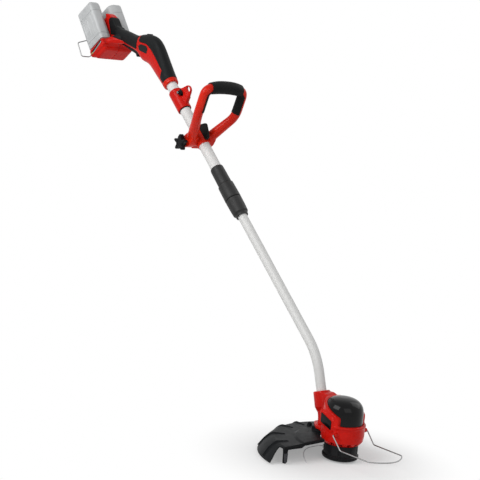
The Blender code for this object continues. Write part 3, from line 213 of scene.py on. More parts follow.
def turned(name, profile, place=WORLD, steps=96):
    """Spin (radius, height) points about local z. They run down the outside and up the bore."""
    bm = bmesh.new()
    verts = [bm.verts.new((radius * MM, 0, height * MM)) for radius, height in profile]
    pairs = list(zip(verts, verts[1:]))
    if profile[0][0] > 0:
        pairs.append((verts[-1], verts[0]))
    line = [*verts, *[bm.edges.new(pair) for pair in pairs]]
    bmesh.ops.spin(bm, geom=line, cent=(0, 0, 0), axis=(0, 0, 1), angle=2 * pi, steps=steps, use_merge=True)
    bmesh.ops.remove_doubles(bm, verts=bm.verts, dist=TOUCH)
    bmesh.ops.recalc_face_normals(bm, faces=bm.faces)
    return keep(bm, name, place)


def round_edges(bm, edges, width, segments=3):
    bmesh.ops.bevel(
        bm, geom=edges, offset=width * MM, segments=segments, profile=0.5, affect="EDGES", material=-1,
        clamp_overlap=True,
    )


def creases(bm, sharp=30):
    return [edge for edge in bm.edges if edge.is_manifold and edge.calc_face_angle() > radians(sharp)]


def raised(outline, low, high):
    """An outline stood up from low to high along local z, as a bmesh."""
    bm = bmesh.new()
    base = bm.faces.new([bm.verts.new((x * MM, y * MM, low * MM)) for x, y in outline])
    grown = bmesh.ops.extrude_face_region(bm, geom=[base])["geom"]
    top = [item for item in grown if isinstance(item, bmesh.types.BMVert)]
    bmesh.ops.translate(bm, vec=(0, 0, (high - low) * MM), verts=top)
    bmesh.ops.holes_fill(bm, edges=[edge for edge in bm.edges if edge.is_boundary])
    bmesh.ops.recalc_face_normals(bm, faces=bm.faces)
    return bm


def slab(name, outline, low, high, place=WORLD, edge=0.0, segments=3, sharp=30):
    """A raised outline with rounded edges."""
    bm = raised(outline, low, high)
    if edge:
        round_edges(bm, creases(bm, sharp), edge, segments)
    return keep(bm, name, place)


def block(name, low, high, place=WORLD, edge=0.0, segments=3):
    """A box between two corners, with rounded edges."""
    low, high = Vector(low), Vector(high)
    bm = bmesh.new()
    bmesh.ops.create_cube(bm, size=MM, matrix=Matrix.Diagonal((*(high - low), 1)))
    bmesh.ops.translate(bm, vec=(low + high) / 2 * MM, verts=bm.verts)
    bmesh.ops.recalc_face_normals(bm, faces=bm.faces)
    if edge:
        round_edges(bm, creases(bm), edge, segments)
    return keep(bm, name, place)


def turned_to(axis):
    """The turn that takes local z onto an axis."""
    return Vector((0, 0, 1)).rotation_difference(axis).to_matrix().to_4x4()


def drum(name, start, end, radius, sides=48, end_radius=None, edge=0.0):
    """A cylinder or cone between two points."""
    start, end = Vector(start), Vector(end)
    last = radius if end_radius is None else end_radius
    long = (end - start).length * MM
    bm = bmesh.new()
    bmesh.ops.create_cone(
        bm, cap_ends=True, segments=sides, radius1=radius * MM, radius2=last * MM, depth=long
    )
    if edge:
        round_edges(bm, creases(bm, 50), edge)
    return keep(bm, name, Matrix.Translation((start + end) / 2 * MM) @ turned_to(end - start))


def across(name, spot, start, end, radius, sides=48, end_radius=None, edge=0.0):
    """A drum across the tool, from start to end beside a spot."""
    spot = Vector(spot)
    return drum(name, spot + SIDEWAYS * start, spot + SIDEWAYS * end, radius, sides, end_radius, edge)


def sweep(name, points, radius, radii=None, ring=8, caps=True):
    """A curve with a round section, with 4 + 2 * ring sides."""
    curve = bpy.data.curves.new(name, "CURVE")
    curve.dimensions = "3D"
    curve.bevel_depth = radius * MM
    curve.bevel_resolution = ring
    curve.use_fill_caps = caps
    spline = curve.splines.new("POLY")
    spline.points.add(len(points) - 1)
    for index, (point, place) in enumerate(zip(spline.points, points)):
        point.co = (*(Vector(place) * MM), 1)
        point.radius = radii[index] / radius if radii else 1
    return link(name, curve)


def bar(name, points, radius, radii=None, ring=8, caps=True):
    """The same curve as a mesh."""
    return settle(sweep(name, points, radius, radii, ring, caps))


print("shapes ready")

# %% [markdown]
# ## Carving and fusing
# Tools are solids that are cut out of a piece and then removed. Melting fuses overlapping solids into one
# skin with fillets. The last helpers give equal steps, and equal tools round the spool's axis.

# %% Carve, fuse and repeat


def gather(name, *solids):
    """Put the meshes of several solids into one object."""
    bm = bmesh.new()
    for solid in solids:
        bm.from_mesh(solid.data)
        bpy.data.objects.remove(solid)
    return keep(bm, name)


def carve(obj, *tools, operation="DIFFERENCE"):
    """Cut each tool out of a piece."""
    for tool in tools:
        change = obj.modifiers.new("carve", "BOOLEAN")
        change.operation = operation
        change.object = tool
        settle(obj)
        bpy.data.objects.remove(tool)
    return obj


def within(obj, tool):
    """Keep only what lies inside the tool."""
    return carve(obj, tool, operation="INTERSECT")


def melt(obj, voxel, passes):
    """Fuse overlapping solids into one skin, with a small fillet wherever they meet."""
    skin = obj.modifiers.new("skin", "REMESH")
    skin.mode = "VOXEL"
    skin.voxel_size = voxel * MM
    calm = obj.modifiers.new("calm", "SMOOTH")
    calm.factor = 0.5
    calm.iterations = passes
    return settle(obj)


def twin(obj, name):
    """A copy, for cutting another piece out of the same form."""
    return link(name, obj.data.copy())


def half_of(whole, name, side):
    """The piece on one side of the middle plane, closed there by a flat face."""
    bm = bmesh.new()
    bm.from_mesh(whole.data)
    bmesh.ops.bisect_plane(
        bm, geom=[*bm.verts, *bm.edges, *bm.faces], dist=TOUCH, plane_co=(0, side * HALF_GAP, 0),
        plane_no=(0, side, 0), clear_inner=True,
    )
    rim = [edge for edge in bm.edges if edge.is_boundary]
    bmesh.ops.triangle_fill(bm, use_beauty=True, edges=rim, normal=(0, -side, 0))
    return keep(bm, name)


def spread(first, step, count):
    """Values in equal steps."""
    return [first + step * index for index in range(count)]


def blocks_round(angles, low, high, edge=0.0):
    """Equal blocks round the spool's axis, as tools."""
    turns = [Matrix.Rotation(radians(angle), 4, "Z") for angle in angles]
    return [block("tooth", low, high, turn, edge, 2) for turn in turns]


def drums_round(angles, radius, low, high, size, sides=24):
    """Equal drums round the spool's axis, as tools."""
    ends = [(polar(radius, angle, low), polar(radius, angle, high)) for angle in angles]
    return [drum("hole", start, end, size, sides) for start, end in ends]


print("tools ready")

# %% [markdown]
# ## Arithmetic on sockets
# A finish is a tree of nodes, and so is the sky. One small class wraps a socket, so that sums are written
# as Python and add their Math nodes. Every node comes from one method that sets it up and fills it.

# %% Wrap sockets and nodes


class Value:
    """A socket that can stand in a sum."""

    def __init__(self, nodes, socket):
        self.nodes = nodes
        self.socket = socket

    def math(self, operation, first, second):
        return self.nodes.node("ShaderNodeMath", {0: first, 1: second}, operation=operation)

    def __add__(self, other):
        return self.math("ADD", self, other)

    def __radd__(self, other):
        return self.math("ADD", other, self)

    def __sub__(self, other):
        return self.math("SUBTRACT", self, other)

    def __rsub__(self, other):
        return self.math("SUBTRACT", other, self)

    def __mul__(self, other):
        return self.math("MULTIPLY", self, other)

    def __rmul__(self, other):
        return self.math("MULTIPLY", other, self)

    def between(self, low, high):
        """0 below low, 1 above high and a soft step between them."""
        return self.nodes.soft_step(self, {"From Min": low, "From Max": high})


class Nodes:
    """A node tree whose nodes come from one method."""

    def __init__(self, tree):
        self.tree = tree

    def node(self, kind, sockets, out=0, **settings):
        """Add a node: its settings first, then the values or links of its sockets."""
        made = self.tree.nodes.new(kind)
        for key, value in settings.items():
            setattr(made, key, value)
        for key, value in sockets.items():
            if isinstance(value, Value):
                self.tree.links.new(value.socket, made.inputs[key])
            else:
                made.inputs[key].default_value = value
        return Value(self, made.outputs[out])

    def soft_step(self, value, limits):
        return self.node("ShaderNodeMapRange", {"Value": value, **limits}, interpolation_type="SMOOTHSTEP")

    def looking(self):
        """1 for the camera's own rays and for those that metal or glass sends on."""
        camera_ray = self.node("ShaderNodeLightPath", {}, "Is Camera Ray")
        total = camera_ray
        for name in ("Is Glossy Ray", "Is Transmission Ray"):
            ray = Value(self, camera_ray.socket.node.outputs[name])
            total = total.math("MAXIMUM", total, ray)
        return total


print("nodes ready")

# %% [markdown]
# ## Finishes
# A finish is one material. It has noise, cells and wear in millimetres, mixes colours and feeds the
# shader's sockets. Dressing a piece gives it its finish, its body and the CAD nodes that it replaces.

# %% Make finishes and dress pieces


def socket_name(key):
    return key.replace("_", " ").title().replace("Ior", "IOR")


class Finish(Nodes):
    """A material, with its Principled shader and the object's own coordinates."""

    def __init__(self, name, slot, **fixed):
        self.material = bpy.data.materials.new(name)
        self.material.use_nodes = True
        super().__init__(self.material.node_tree)
        self.shader = self.tree.nodes["Principled BSDF"]
        self.slot = slot
        self.place = self.node("ShaderNodeTexCoord", {}, "Object")
        for key, value in fixed.items():
            self.shader.inputs[socket_name(key)].default_value = value

    def noise(self, size, detail=2.0, stretch=None, turn=(0, 0, 0)):
        """Cloudy noise with blobs of the given size in millimetres, stretched along an axis."""
        where = self.place
        if stretch:
            where = self.node("ShaderNodeMapping", {"Vector": where, "Rotation": turn})
            where = self.node("ShaderNodeMapping", {"Vector": where, "Scale": stretch})
        return self.node("ShaderNodeTexNoise", {"Vector": where, "Scale": 1000 / size, "Detail": detail})

    def cells(self, size):
        return self.node("ShaderNodeTexVoronoi", {"Vector": self.place, "Scale": 1000 / size})

    def worn(self):
        """1 on outward edges, where hands and grass polish a piece."""
        return self.node("ShaderNodeNewGeometry", {}, "Pointiness").between(0.52, 0.6)

    def mix(self, mask, first, second):
        sockets = {0: mask, 6: (*first, 1) if isinstance(first, tuple) else first}
        sockets[7] = (*second, 1) if isinstance(second, tuple) else second
        return self.node("ShaderNodeMix", sockets, 2, data_type="RGBA")

    def feed(self, **links):
        for key, value in links.items():
            self.tree.links.new(value.socket, self.shader.inputs[socket_name(key)])
        return self

    def relief(self, height, depth):
        """Raise the surface by a height of 0 to 1 times a depth in millimetres."""
        return self.feed(normal=self.node("ShaderNodeBump", {"Height": height, "Distance": depth * MM}))


def dress(obj, body, finish, *nodes, sharp=35):
    """Give a finished piece its finish, and let it ride in place of its CAD nodes.

    A piece given as crossing a joint, with two bodies and two points, rides on neither: its place is only
    baked into its mesh.
    """
    obj.data.materials.clear()
    obj.data.materials.append(finish.material)
    obj.data.shade_smooth()
    obj.data.set_sharp_from_angle(angle=radians(sharp))
    if isinstance(body, str):
        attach(obj, body)
    else:
        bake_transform(obj)
    if nodes:
        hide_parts(*nodes)
    print(obj.name, len(obj.data.polygons), "faces")
    return obj


print("finishes ready")

# %% [markdown]
# ## Moulded plastic
# The red housings are glossy moulded plastic: a faint mottle in the colour, the soft ripple of a mould and
# smudges that change the gloss. The black pieces have the same layers with a fine spark-eroded grain.

# %% Mix the plastics


def moulded(name, slot, colour, deep, gloss, grain, depth, dust=0.04, **fixed):
    """Plastic of one colour with a deeper mottle, smudged gloss, a grain in mm and a little dust."""
    finish = Finish(name, slot, **fixed)
    mottle = finish.noise(38, 3).between(0.35, 0.7)
    dusty = finish.noise(6, 5).between(0.5, 0.85) * dust
    worn = finish.worn() * 0.07
    body = finish.mix(mottle, colour, deep)
    pale = tuple(channel * 0.8 + 0.1 for channel in colour)
    body = finish.mix(dusty + worn, body, pale)
    smudge = finish.noise(17, 4)
    fine = finish.noise(grain, 2)
    ripple = finish.noise(24, 1)
    finish.feed(base_color=body, roughness=gloss + (smudge - 0.5) * 0.22 + dusty * 0.5)
    return finish.relief(fine * 0.75 + ripple * 0.25, depth)


RED_SHELL = moulded(
    "red_shell", "red_plastic", (0.6, 0.009, 0.004), (0.52, 0.006, 0.003), 0.3, 0.9, 0.006, 0.03,
    specular_ior_level=0.08, coat_weight=0.07, coat_roughness=0.07,
)
RED_LOOP = moulded(
    "red_loop", "red_plastic", (0.66, 0.018, 0.004), (0.58, 0.012, 0.003), 0.34, 0.7, 0.008, 0.03,
    specular_ior_level=0.1, coat_weight=0.12, coat_roughness=0.1,
)
BLACK_SATIN = moulded(
    "black_satin", "black_plastic", (0.009, 0.009, 0.01), (0.006, 0.006, 0.007), 0.42, 0.6, 0.03,
    specular_ior_level=0.1,
)
BLACK_GLOSS = moulded(
    "black_gloss", "black_plastic", (0.003, 0.003, 0.0035), (0.002, 0.002, 0.0025), 0.13, 2.0, 0.004, 0.012,
    specular_ior_level=0.16,
)
GUARD_BLACK = moulded(
    "guard_black", "black_plastic", (0.01, 0.011, 0.012), (0.007, 0.008, 0.009), 0.44, 0.8, 0.04, 0.06,
    specular_ior_level=0.05,
)
LOCK_GREY = moulded(
    "lock_grey", "black_plastic", (0.02, 0.02, 0.02), (0.015, 0.015, 0.015), 0.5, 0.6, 0.03, 0.04,
    specular_ior_level=0.25,
)
PACK_PALE = moulded(
    "pack_pale", "pack_grey", (0.5, 0.512, 0.516), (0.44, 0.452, 0.456), 0.38, 0.6, 0.02, 0.02
)
print("plastics", RED_SHELL.slot, BLACK_SATIN.slot, PACK_PALE.slot)

# %% [markdown]
# ## Soft grip
# The overmoulded covers are a matt elastomer. Its grain is a close pattern of tiny cells, as on a mould
# etched like leather, and the palms that rub it leave slightly shinier patches.

# %% Mix the soft grip


def elastomer(name, colour, gloss, cell):
    finish = Finish(name, "soft_grip", specular_ior_level=0.1)
    rubbed = finish.noise(30, 3).between(0.45, 0.7)
    lint = finish.noise(2.2, 5).between(0.62, 0.85) * 0.05 + finish.worn() * 0.04
    body = finish.mix(rubbed, colour, tuple(channel * 0.72 for channel in colour))
    body = finish.mix(lint, body, (0.16, 0.16, 0.155))
    pits = finish.cells(cell)
    finish.feed(base_color=body, roughness=gloss - rubbed * 0.12 + finish.noise(9, 3) * 0.1)
    return finish.relief(pits * 0.7 + finish.noise(cell * 2, 2) * 0.3, 0.06)


SOFT_COVER = elastomer("soft_cover", (0.008, 0.009, 0.0095), 0.5, 0.9)
SOFT_SLEEVE = elastomer("soft_sleeve", (0.007, 0.0075, 0.0075), 0.58, 0.7)
print("soft finishes", SOFT_COVER.slot)

# %% [markdown]
# ## Metals
# The tubes are pale anodised aluminium, drawn lengthwise, so their fine lines run along the shaft. The wires
# are zinc plated and slightly mottled, and the small fittings are brushed steel or brass.

# %% Mix the metals


def grey(level):
    return (level, level, level)


def drawn(name, slot, colour, deep, gloss, metallic, stretch, turn=(0, 0, 0), depth=0.02):
    """Metal with fine lines along one axis and a soft mottle."""
    finish = Finish(name, slot, metallic=metallic)
    lines = finish.noise(1, 3, stretch, turn)
    mottle = finish.noise(22, 3)
    body = finish.mix(lines.between(0.25, 0.8) * 0.6 + mottle * 0.4, deep, colour)
    finish.feed(base_color=body, roughness=gloss + (lines - 0.5) * 0.2 + (mottle - 0.5) * 0.14)
    return finish.relief(lines, depth)


ALONG_SHAFT = (0, pi / 2 - SHAFT_TILT, 0)
TUBE_PALE = drawn(
    "tube_pale", "aluminium", (0.71, 0.71, 0.7), (0.66, 0.66, 0.65), 0.64, 0.05, (1, 1, 0.02), ALONG_SHAFT,
    depth=0.001,
)
TUBE_GREY = drawn(
    "tube_grey", "aluminium", (0.67, 0.67, 0.66), (0.6, 0.6, 0.59), 0.62, 0.12, (1, 1, 0.04), ALONG_SHAFT,
    depth=0.001,
)
ZINC_WIRE = drawn("zinc_wire", "steel", grey(0.34), grey(0.2), 0.3, 1, grey(0.5))
BRUSHED = drawn("brushed_fitting", "steel", grey(0.5), grey(0.34), 0.32, 1, (3, 0.1, 3), depth=0.008)
BLUED = drawn(
    "blued_blade", "steel", (0.07, 0.07, 0.075), (0.03, 0.03, 0.035), 0.34, 0.8, (3, 3, 0.2), depth=0.008,
)
BRASS = drawn("brass_blade", "brass", (0.72, 0.5, 0.2), (0.5, 0.34, 0.12), 0.28, 1, (0.2, 3, 3), depth=0.008)
print("metals", TUBE_PALE.slot, ZINC_WIRE.slot, BRASS.slot)

# %% [markdown]
# ## Nylon, wound line and the board
# Nylon is milky and half glossy. The reel's winding shows its layers as fine rings, which a wave along the
# spool's axis gives. The board has tracks and pads from a brick pattern.

# %% Mix the small finishes
NYLON = Finish("nylon_line", "nylon", coat_weight=0.2)
twist = NYLON.noise(1.2, 2)
NYLON.feed(base_color=NYLON.mix(twist, (0.62, 0.6, 0.64), (0.8, 0.79, 0.82)), roughness=0.3 + twist * 0.15)
NYLON.relief(twist, 0.02)

WINDING = Finish("wound_line", "nylon")
wave = {"Vector": WINDING.place, "Scale": 98.0, "Distortion": 0.6}
rings = WINDING.node("ShaderNodeTexWave", wave, bands_direction="Z")
layers = WINDING.mix(rings, (0.4, 0.38, 0.42), (0.8, 0.78, 0.82))
WINDING.feed(base_color=layers, roughness=0.55 - rings * 0.2)
WINDING.relief(rings, 0.8)

BOARD = Finish("circuit_board", "board_green")
level = BOARD.node("ShaderNodeMapping", {"Vector": BOARD.place, "Rotation": (0, PACK_LEAN, 0)})
tracks = BOARD.node("ShaderNodeTexBrick", {"Vector": level, "Scale": 220.0, "Mortar Size": 0.03}, "Fac")
BOARD.feed(base_color=BOARD.mix(tracks, (0.02, 0.16, 0.06), (0.1, 0.32, 0.12)), roughness=0.5 - tracks * 0.2)
BOARD.relief(tracks, 0.05)
print("small finishes", NYLON.slot, WINDING.slot, BOARD.slot)

# %% [markdown]
# ## The free end of the cutting line
# A nylon line 1.6 mm thick leaves the eyelet of the spool. It is stiff and keeps the curve it had on the
# reel, so it stands out level and then drops in an arc to the ground.

# %% Lay the cutting line
EYELET_ANGLE = 220
EYELET_R = 42.3
EYELET_Z = 25
LINE_DIAMETER = 1.6
line_start = polar(EYELET_R, EYELET_ANGLE, EYELET_Z)
line_route = [
    line_start, line_start + polar(6, EYELET_ANGLE), (-42.5, -39, 23.2), (-49.5, -57, 19), (-45, -73, 16),
    (-34, -87, 12.8), (-19, -98.5, 8.5), (-3, -107, 4),
]
line_points = smooth(line_route, 4)
free_line = sweep("free_line", line_points, LINE_DIAMETER / 2, ring=3)
free_line.data.materials.append(NYLON.material)
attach(free_line, "cutting_head")
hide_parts("cutting_line")
line_length = sum((b - a).length for a, b in zip(line_points, line_points[1:])) * MM
line_points[0] * MM
print("cutting line", round(line_length, 3), "m")

# %% [markdown]
# ## The shaft
# Two aluminium tubes slide in each other. The upper one is straight, so it is turned about the shaft. The
# lower one is bent near the head, so a bevelled curve follows its centre line and Solidify gives the wall.
# The motor's lead runs inside, from the head through both tubes into the rear handle, and rides on no body.

# %% Make the tubes
LOWER_R = 12
UPPER_R = 14.5
WALL = 1.5
FIT = 0.3
UPPER_FOOT = 432
UPPER_TOP = 905
LEAD_R = 3
bore_r = UPPER_R - WALL
upper = [
    (UPPER_R, UPPER_TOP - 0.3), (UPPER_R, UPPER_FOOT + 0.4), (UPPER_R - 0.4, UPPER_FOOT),
    (bore_r, UPPER_FOOT), (bore_r, UPPER_TOP),
]
dress(turned("tube_upper", upper, SHAFT, 72), "rear_body", TUBE_PALE, "upper_tube")
BEND_STEPS = 28
tilts = spread(NECK_TILT, (SHAFT_TILT - NECK_TILT) / BEND_STEPS, BEND_STEPS + 1)
bend = [bend_point(tilt) for tilt in tilts]
path = [NECK_FOOT + UP_NECK * FIT, NECK_FOOT + UP_NECK * 40, *bend, on_shaft(250), on_shaft(510)]
lower = bar("tube_lower", path, LOWER_R, ring=16, caps=False)
wall = lower.modifiers.new("wall", "SOLIDIFY")
wall.thickness = WALL * MM
wall.offset = -1
dress(settle(lower), "lower_shaft", TUBE_GREY, "lower_tube", sharp=50)
BELOW_NECK = NECK_FOOT - UP_NECK * 25
lead_route = [
    (-25.3, 0, BELOW_NECK.z), BELOW_NECK, NECK_FOOT + UP_NECK * 40, *bend[::4], on_shaft(300), on_shaft(904),
    (-840, 0, 884), (-865.4, 0, 890),
]
lead = bar("motor_lead", eased(lead_route, 6, 3, closed=False), LEAD_R, ring=6)
give_way = ("lower_shaft", "rear_body", on_shaft(320) * MM, on_shaft(860) * MM)
dress(lead, give_way, BLACK_SATIN, "power_lead")

# %% [markdown]
# ## The twist lock
# The lock is a sleeve on the upper tube and a wider nut below it. Both are turned from outlines with eased
# corners. Shallow flutes for the fingers are carved out of the nut with a ring of thin drums.

# %% Turn the lock
FLUTES = 6


def flutes(radius, low, high, size):
    """Thin drums in a ring round the shaft, as one tool."""
    rods = []
    for angle in spread(0, 360 / FLUTES, FLUTES):
        foot, head = (SHAFT @ (polar(radius, angle, along) * MM) / MM for along in (low, high))
        rods.append(drum("rod", foot, head, size, 20, edge=size * 0.4))
    return gather("rods", *rods)


sleeve_outline = [
    *eased([(14.8, 534), (17, 534), (17.8, 529), (18.3, 479.8), (17.4, 479)], 1, 3, closed=False),
    *eased([(17.4, 477.8), (20.8, 477.2), (21.6, 431.8), (19.8, 430.6)], 0.8, 3, closed=False),
    (16.4, 430.4), (16.4, 404), (13.6, 404), (13.6, 431.7), (14.8, 431.7),
]
sleeve = turned("lock_sleeve", sleeve_outline, SHAFT)
dress(sleeve, "rear_body", LOCK_GREY, "lock_body")
nut_skin = [(19.8, 429), (21.4, 428.6), (21, 405), (20.1, 386), (16.9, 382.5), (16, 376)]
nut_outline = [
    (16.7, 430), (19.6, 430), *eased(nut_skin, 1, closed=False),
    (13.4, 376), (13.4, 384), (14.4, 386), (14.4, 403), (16.7, 403),
]
nut = carve(turned("lock_ring", nut_outline, SHAFT), flutes(23.9, 390, 422, 3.2))
dress(nut, "lock_nut", LOCK_GREY, "lock_nut")

# %% [markdown]
# ## The strap collar
# A red clamp ring holds a lug with the eye for a carrying strap. Ring and lug are fused by a voxel remesh,
# which leaves a moulded fillet between them, and the bore, the eye and the screw's recess are cut sharp.

# %% Mould the strap collar
COLLAR_LOW = 737
COLLAR_HIGH = 801
ring_outline = [
    (0, COLLAR_HIGH), (18.6, COLLAR_HIGH), (19, COLLAR_HIGH - 2), (19, COLLAR_LOW + 2), (18.6, COLLAR_LOW),
    (0, COLLAR_LOW),
]
ring = turned("ring", eased(ring_outline, 0.5, 2, closed=False), SHAFT)
lug_outline = [(10, 798), (20, 793), (52, 779), (57, 769), (54, 759), (43, 753), (22, 747), (10, 740)]
root_outline = [(10, 798), (20, 793), (36, 785), (36, 751), (22, 747), (10, 740)]
web = slab("web", eased(lug_outline, 5), -2.9, 2.9, SHAFT @ SIDE, 1.2)
root = slab("root", eased(root_outline, 4), -5.6, 5.6, SHAFT @ SIDE, 2.4)
collar = melt(gather("collar", ring, web, root), 0.8, 4)
EYE_MIDDLE = Vector((47.3, 768.5))
EYE_WIDE = 5.8
EYE_TALL = 8.5
eye = [EYE_MIDDLE + Vector((EYE_WIDE * cos(turn), EYE_TALL * sin(turn))) for turn in spread(0, pi / 16, 32)]
recess_outline = eased([(17.6, 768), (27, 768), (27, 790), (17.6, 790)], 4, 5)
screw_place = on_shaft(778, UPPER_R + 8)
carve(
    collar,
    slab("eye", eye, -30, 30, SHAFT @ SIDE),
    drum("bore", on_shaft(COLLAR_LOW - 9), on_shaft(COLLAR_HIGH + 9), UPPER_R + 1.7, 72),
    slab("recess", recess_outline, 3, 30, SHAFT @ SIDE, 0.4, 2),
    across("nut_pocket", screw_place, 3, 20, 4.6, 6),
)
dress(collar, "rear_body", RED_SHELL, "strap_collar")
insert_outline = eased([(17.9, 768.3), (26.7, 768.3), (26.7, 789.7), (17.9, 789.7)], 4, 5)
dress(slab("clamp_insert", insert_outline, 2.6, 4.2, SHAFT @ SIDE, 0.5, 2), "rear_body", BLACK_SATIN)
liner = [(15.9, COLLAR_HIGH + 1.5), (15.9, COLLAR_LOW - 2), (14.8, COLLAR_LOW - 2), (14.8, COLLAR_HIGH + 1.5)]
dress(turned("collar_sleeve", liner, SHAFT), "rear_body", SOFT_COVER, "collar_liner")
knurls = []
for turn in spread(0, pi / 5, 10):
    spot = Vector((cos(turn), 0, sin(turn))) * 7.4 + screw_place
    knurls.append(across("knurl", spot, -16, -5, 1, 12))
thumb = carve(across("thumb_nut", screw_place, -12, -3.4, 6.8, 40, edge=1), *knurls)
thumb_shank = across("thumb_shank", screw_place, -19, -11.5, 4.2, 32, edge=0.9)
dress(gather("thumb_nut", thumb, thumb_shank), "rear_body", BLACK_SATIN)
screw_head = across("collar_bolt", screw_place, -19.8, -18, 2.6, 36, edge=0.4)
carve(screw_head, across("hex", screw_place, -22, -18.8, 1.4, 6))
screw_nut = across("collar_nut", screw_place, 3.2, 5.4, 3.9, 6)
dress(gather("collar_fasteners", screw_head, screw_nut), "rear_body", BRUSHED, "collar_screw")

# %% [markdown]
# ## The D handle
# The handle is one moulded tube bent into a D. Its centre line has seven eased corners, and the legs grow
# thicker towards the flat cheeks that the clamp bolt goes through. Loop and cheeks are fused by a remesh.

# %% Bend the D handle
LEG_R = 12.3
LEG_SWELL = 2.4
LEG_SWELL_FROM = 730
LEG_SWELL_OVER = 45
GRIP_R = 16.3
CHEEK_IN = 17.6
CHEEK_OUT = 41
CHEEK_THICK = CHEEK_OUT - CHEEK_IN
BOLT = on_shaft(639, -20.5)
BOLT_HOLE = 3.3


def loop_route():
    """The centre line from the right cheek over the top to the left cheek."""
    foot = on_shaft(638, 6)
    right = [Vector((foot.x, -29.5, foot.z)), Vector((-557.5, -63.5, 749)), Vector((-534.5, -63.5, 815))]
    left = [Vector((point.x, -point.y, point.z)) for point in reversed(right)]
    crown = [(-531.9, -30, 821.6), (-531.5, 0, 823), (-531.9, 30, 821.6)]
    return eased([*right, *crown, *left], 19, 8, closed=False)


def leg_radius(point):
    """Thick at the foot, slim along the leg."""
    share = max(0.0, min(1.0, (LEG_SWELL_FROM - point.z) / LEG_SWELL_OVER))
    return LEG_R + LEG_SWELL * share**1.5


route = loop_route()
loop = bar("loop", route, LEG_R, [leg_radius(point) for point in route], ring=10)
cheek_outline = eased([(-31, 630), (-10, 619), (15, 624), (17, 648), (-12, 656), (-31, 650)], 9, 6)
cheeks = [
    slab("cheek", cheek_outline, low, low + CHEEK_THICK, SHAFT @ SIDE, 2.5) for low in (-CHEEK_OUT, CHEEK_IN)
]
handle = melt(gather("d_handle", loop, *cheeks), 1.2, 5)
carve(
    handle,
    block("keep_out", (-60, -CHEEK_IN, 582), (60, CHEEK_IN, 694), SHAFT),
    across("hole", BOLT, -60, 60, BOLT_HOLE, 32),
    across("nut_seat", BOLT, CHEEK_OUT - 0.7, 60, 9),
)
dress(handle, "front_handle", RED_LOOP, "handle_loop")

# %% [markdown]
# ## The handle's soft sleeve
# The sleeve is whole round the top bar, where it swells for the palm, and lies on the inner side of each
# leg as a strip. It is a thicker copy of the loop's bar, cut by a front outline and by the loop itself.

# %% Wrap the soft sleeve
STRIP_R = 13.6
STRIP_FOOT = 757
SHOULDER = 52
CORE_GAP = 0.25
STEP = 2.5


def sleeve_radius(point):
    """Full in the middle of the top bar, easing down at its shoulders."""
    if abs(point.y) > SHOULDER:
        return STRIP_R
    return GRIP_R - 1.2 * (abs(point.y) / 50) ** 4 + 0.4 * cos(point.y / 50 * pi / 2)


crown_points = [point for point in route if point.z > STRIP_FOOT]
dense = []
for start, end in zip(crown_points, crown_points[1:]):
    pieces = max(1, round((end - start).length / STEP))
    dense += [start.lerp(end, piece / pieces) for piece in range(pieces)]
dense.append(crown_points[-1])
wrap = bar("hand_sleeve", dense, GRIP_R, [sleeve_radius(point) for point in dense], ring=10)
window = [(-63, 600), (63, 600), (63, 800), (51, 811), (51, 900), (-51, 900), (-51, 811), (-63, 800)]
FRONT = Matrix.Translation((-0.54, 0, 0)) @ Matrix.Rotation(pi / 2, 4, "Z") @ SIDE
within(wrap, slab("window", window, -100, 100, FRONT))
carve(wrap, bar("core", route, LEG_R + CORE_GAP, [leg_radius(point) + CORE_GAP for point in route], ring=10))
dress(wrap, "front_handle", SOFT_SLEEVE, "handle_grip", sharp=50)

# %% [markdown]
# ## The clamp under the handle
# A red ring with a block below it stays on the tube. The bolt passes through the block and both cheeks, and
# the black wedge on top stops the handle.

# %% Build the clamp
CLAMP_R = 17.3
ring_outline = eased([(0, 664), (CLAMP_R, 664), (CLAMP_R, 612), (0, 612)], 1.6, closed=False)
mount_ring = turned("ring", ring_outline, SHAFT)
mount_foot = block("foot", (-30, -CLAMP_R, 626), (-8, CLAMP_R, 652), SHAFT, 4, 4)
mount = melt(gather("tube_clamp", mount_ring, mount_foot), 0.8, 3)
bore = drum("bore", on_shaft(600), on_shaft(676), UPPER_R + FIT, 72)
carve(mount, bore, across("hole", BOLT, -40, 40, BOLT_HOLE, 32))
dress(mount, "rear_body", RED_LOOP, "handle_mount")
wedge_outline = eased([(8, 618), (27, 617), (31, 622), (43, 648), (41.5, 654), (28, 662), (8, 662)], 3, 5)
wedge = slab("handle_stop", wedge_outline, -5.4, 5.4, SHAFT @ SIDE, 1.5, 4)
for vert in wedge.data.vertices:
    out = (SHAFT.inverted() @ vert.co).x / MM
    vert.co.y *= 1 - 0.5 * max(0, out - 18) / 26
carve(wedge, drum("ring", on_shaft(600), on_shaft(676), CLAMP_R + FIT, 72))
dress(wedge, "rear_body", SOFT_SLEEVE, "mount_wedge")
bolt_rod = across("bolt", BOLT, -52, 41, 3, 32)
bolt_head = across("head", BOLT, 40.9, 46, 6, 6)
washer = across("washer", BOLT, 40.4, 41.4, 7.8, 40)
dress(gather("clamp_bolt_set", bolt_rod, bolt_head, washer), "rear_body", BRUSHED, "clamp_bolt")

# %% [markdown]
# ## The star knob
# The star knob is one outline of five waves with rounded edges, fused with a short hub. A shallow dimple
# lies in its face, and the bolt goes into a hole from behind.

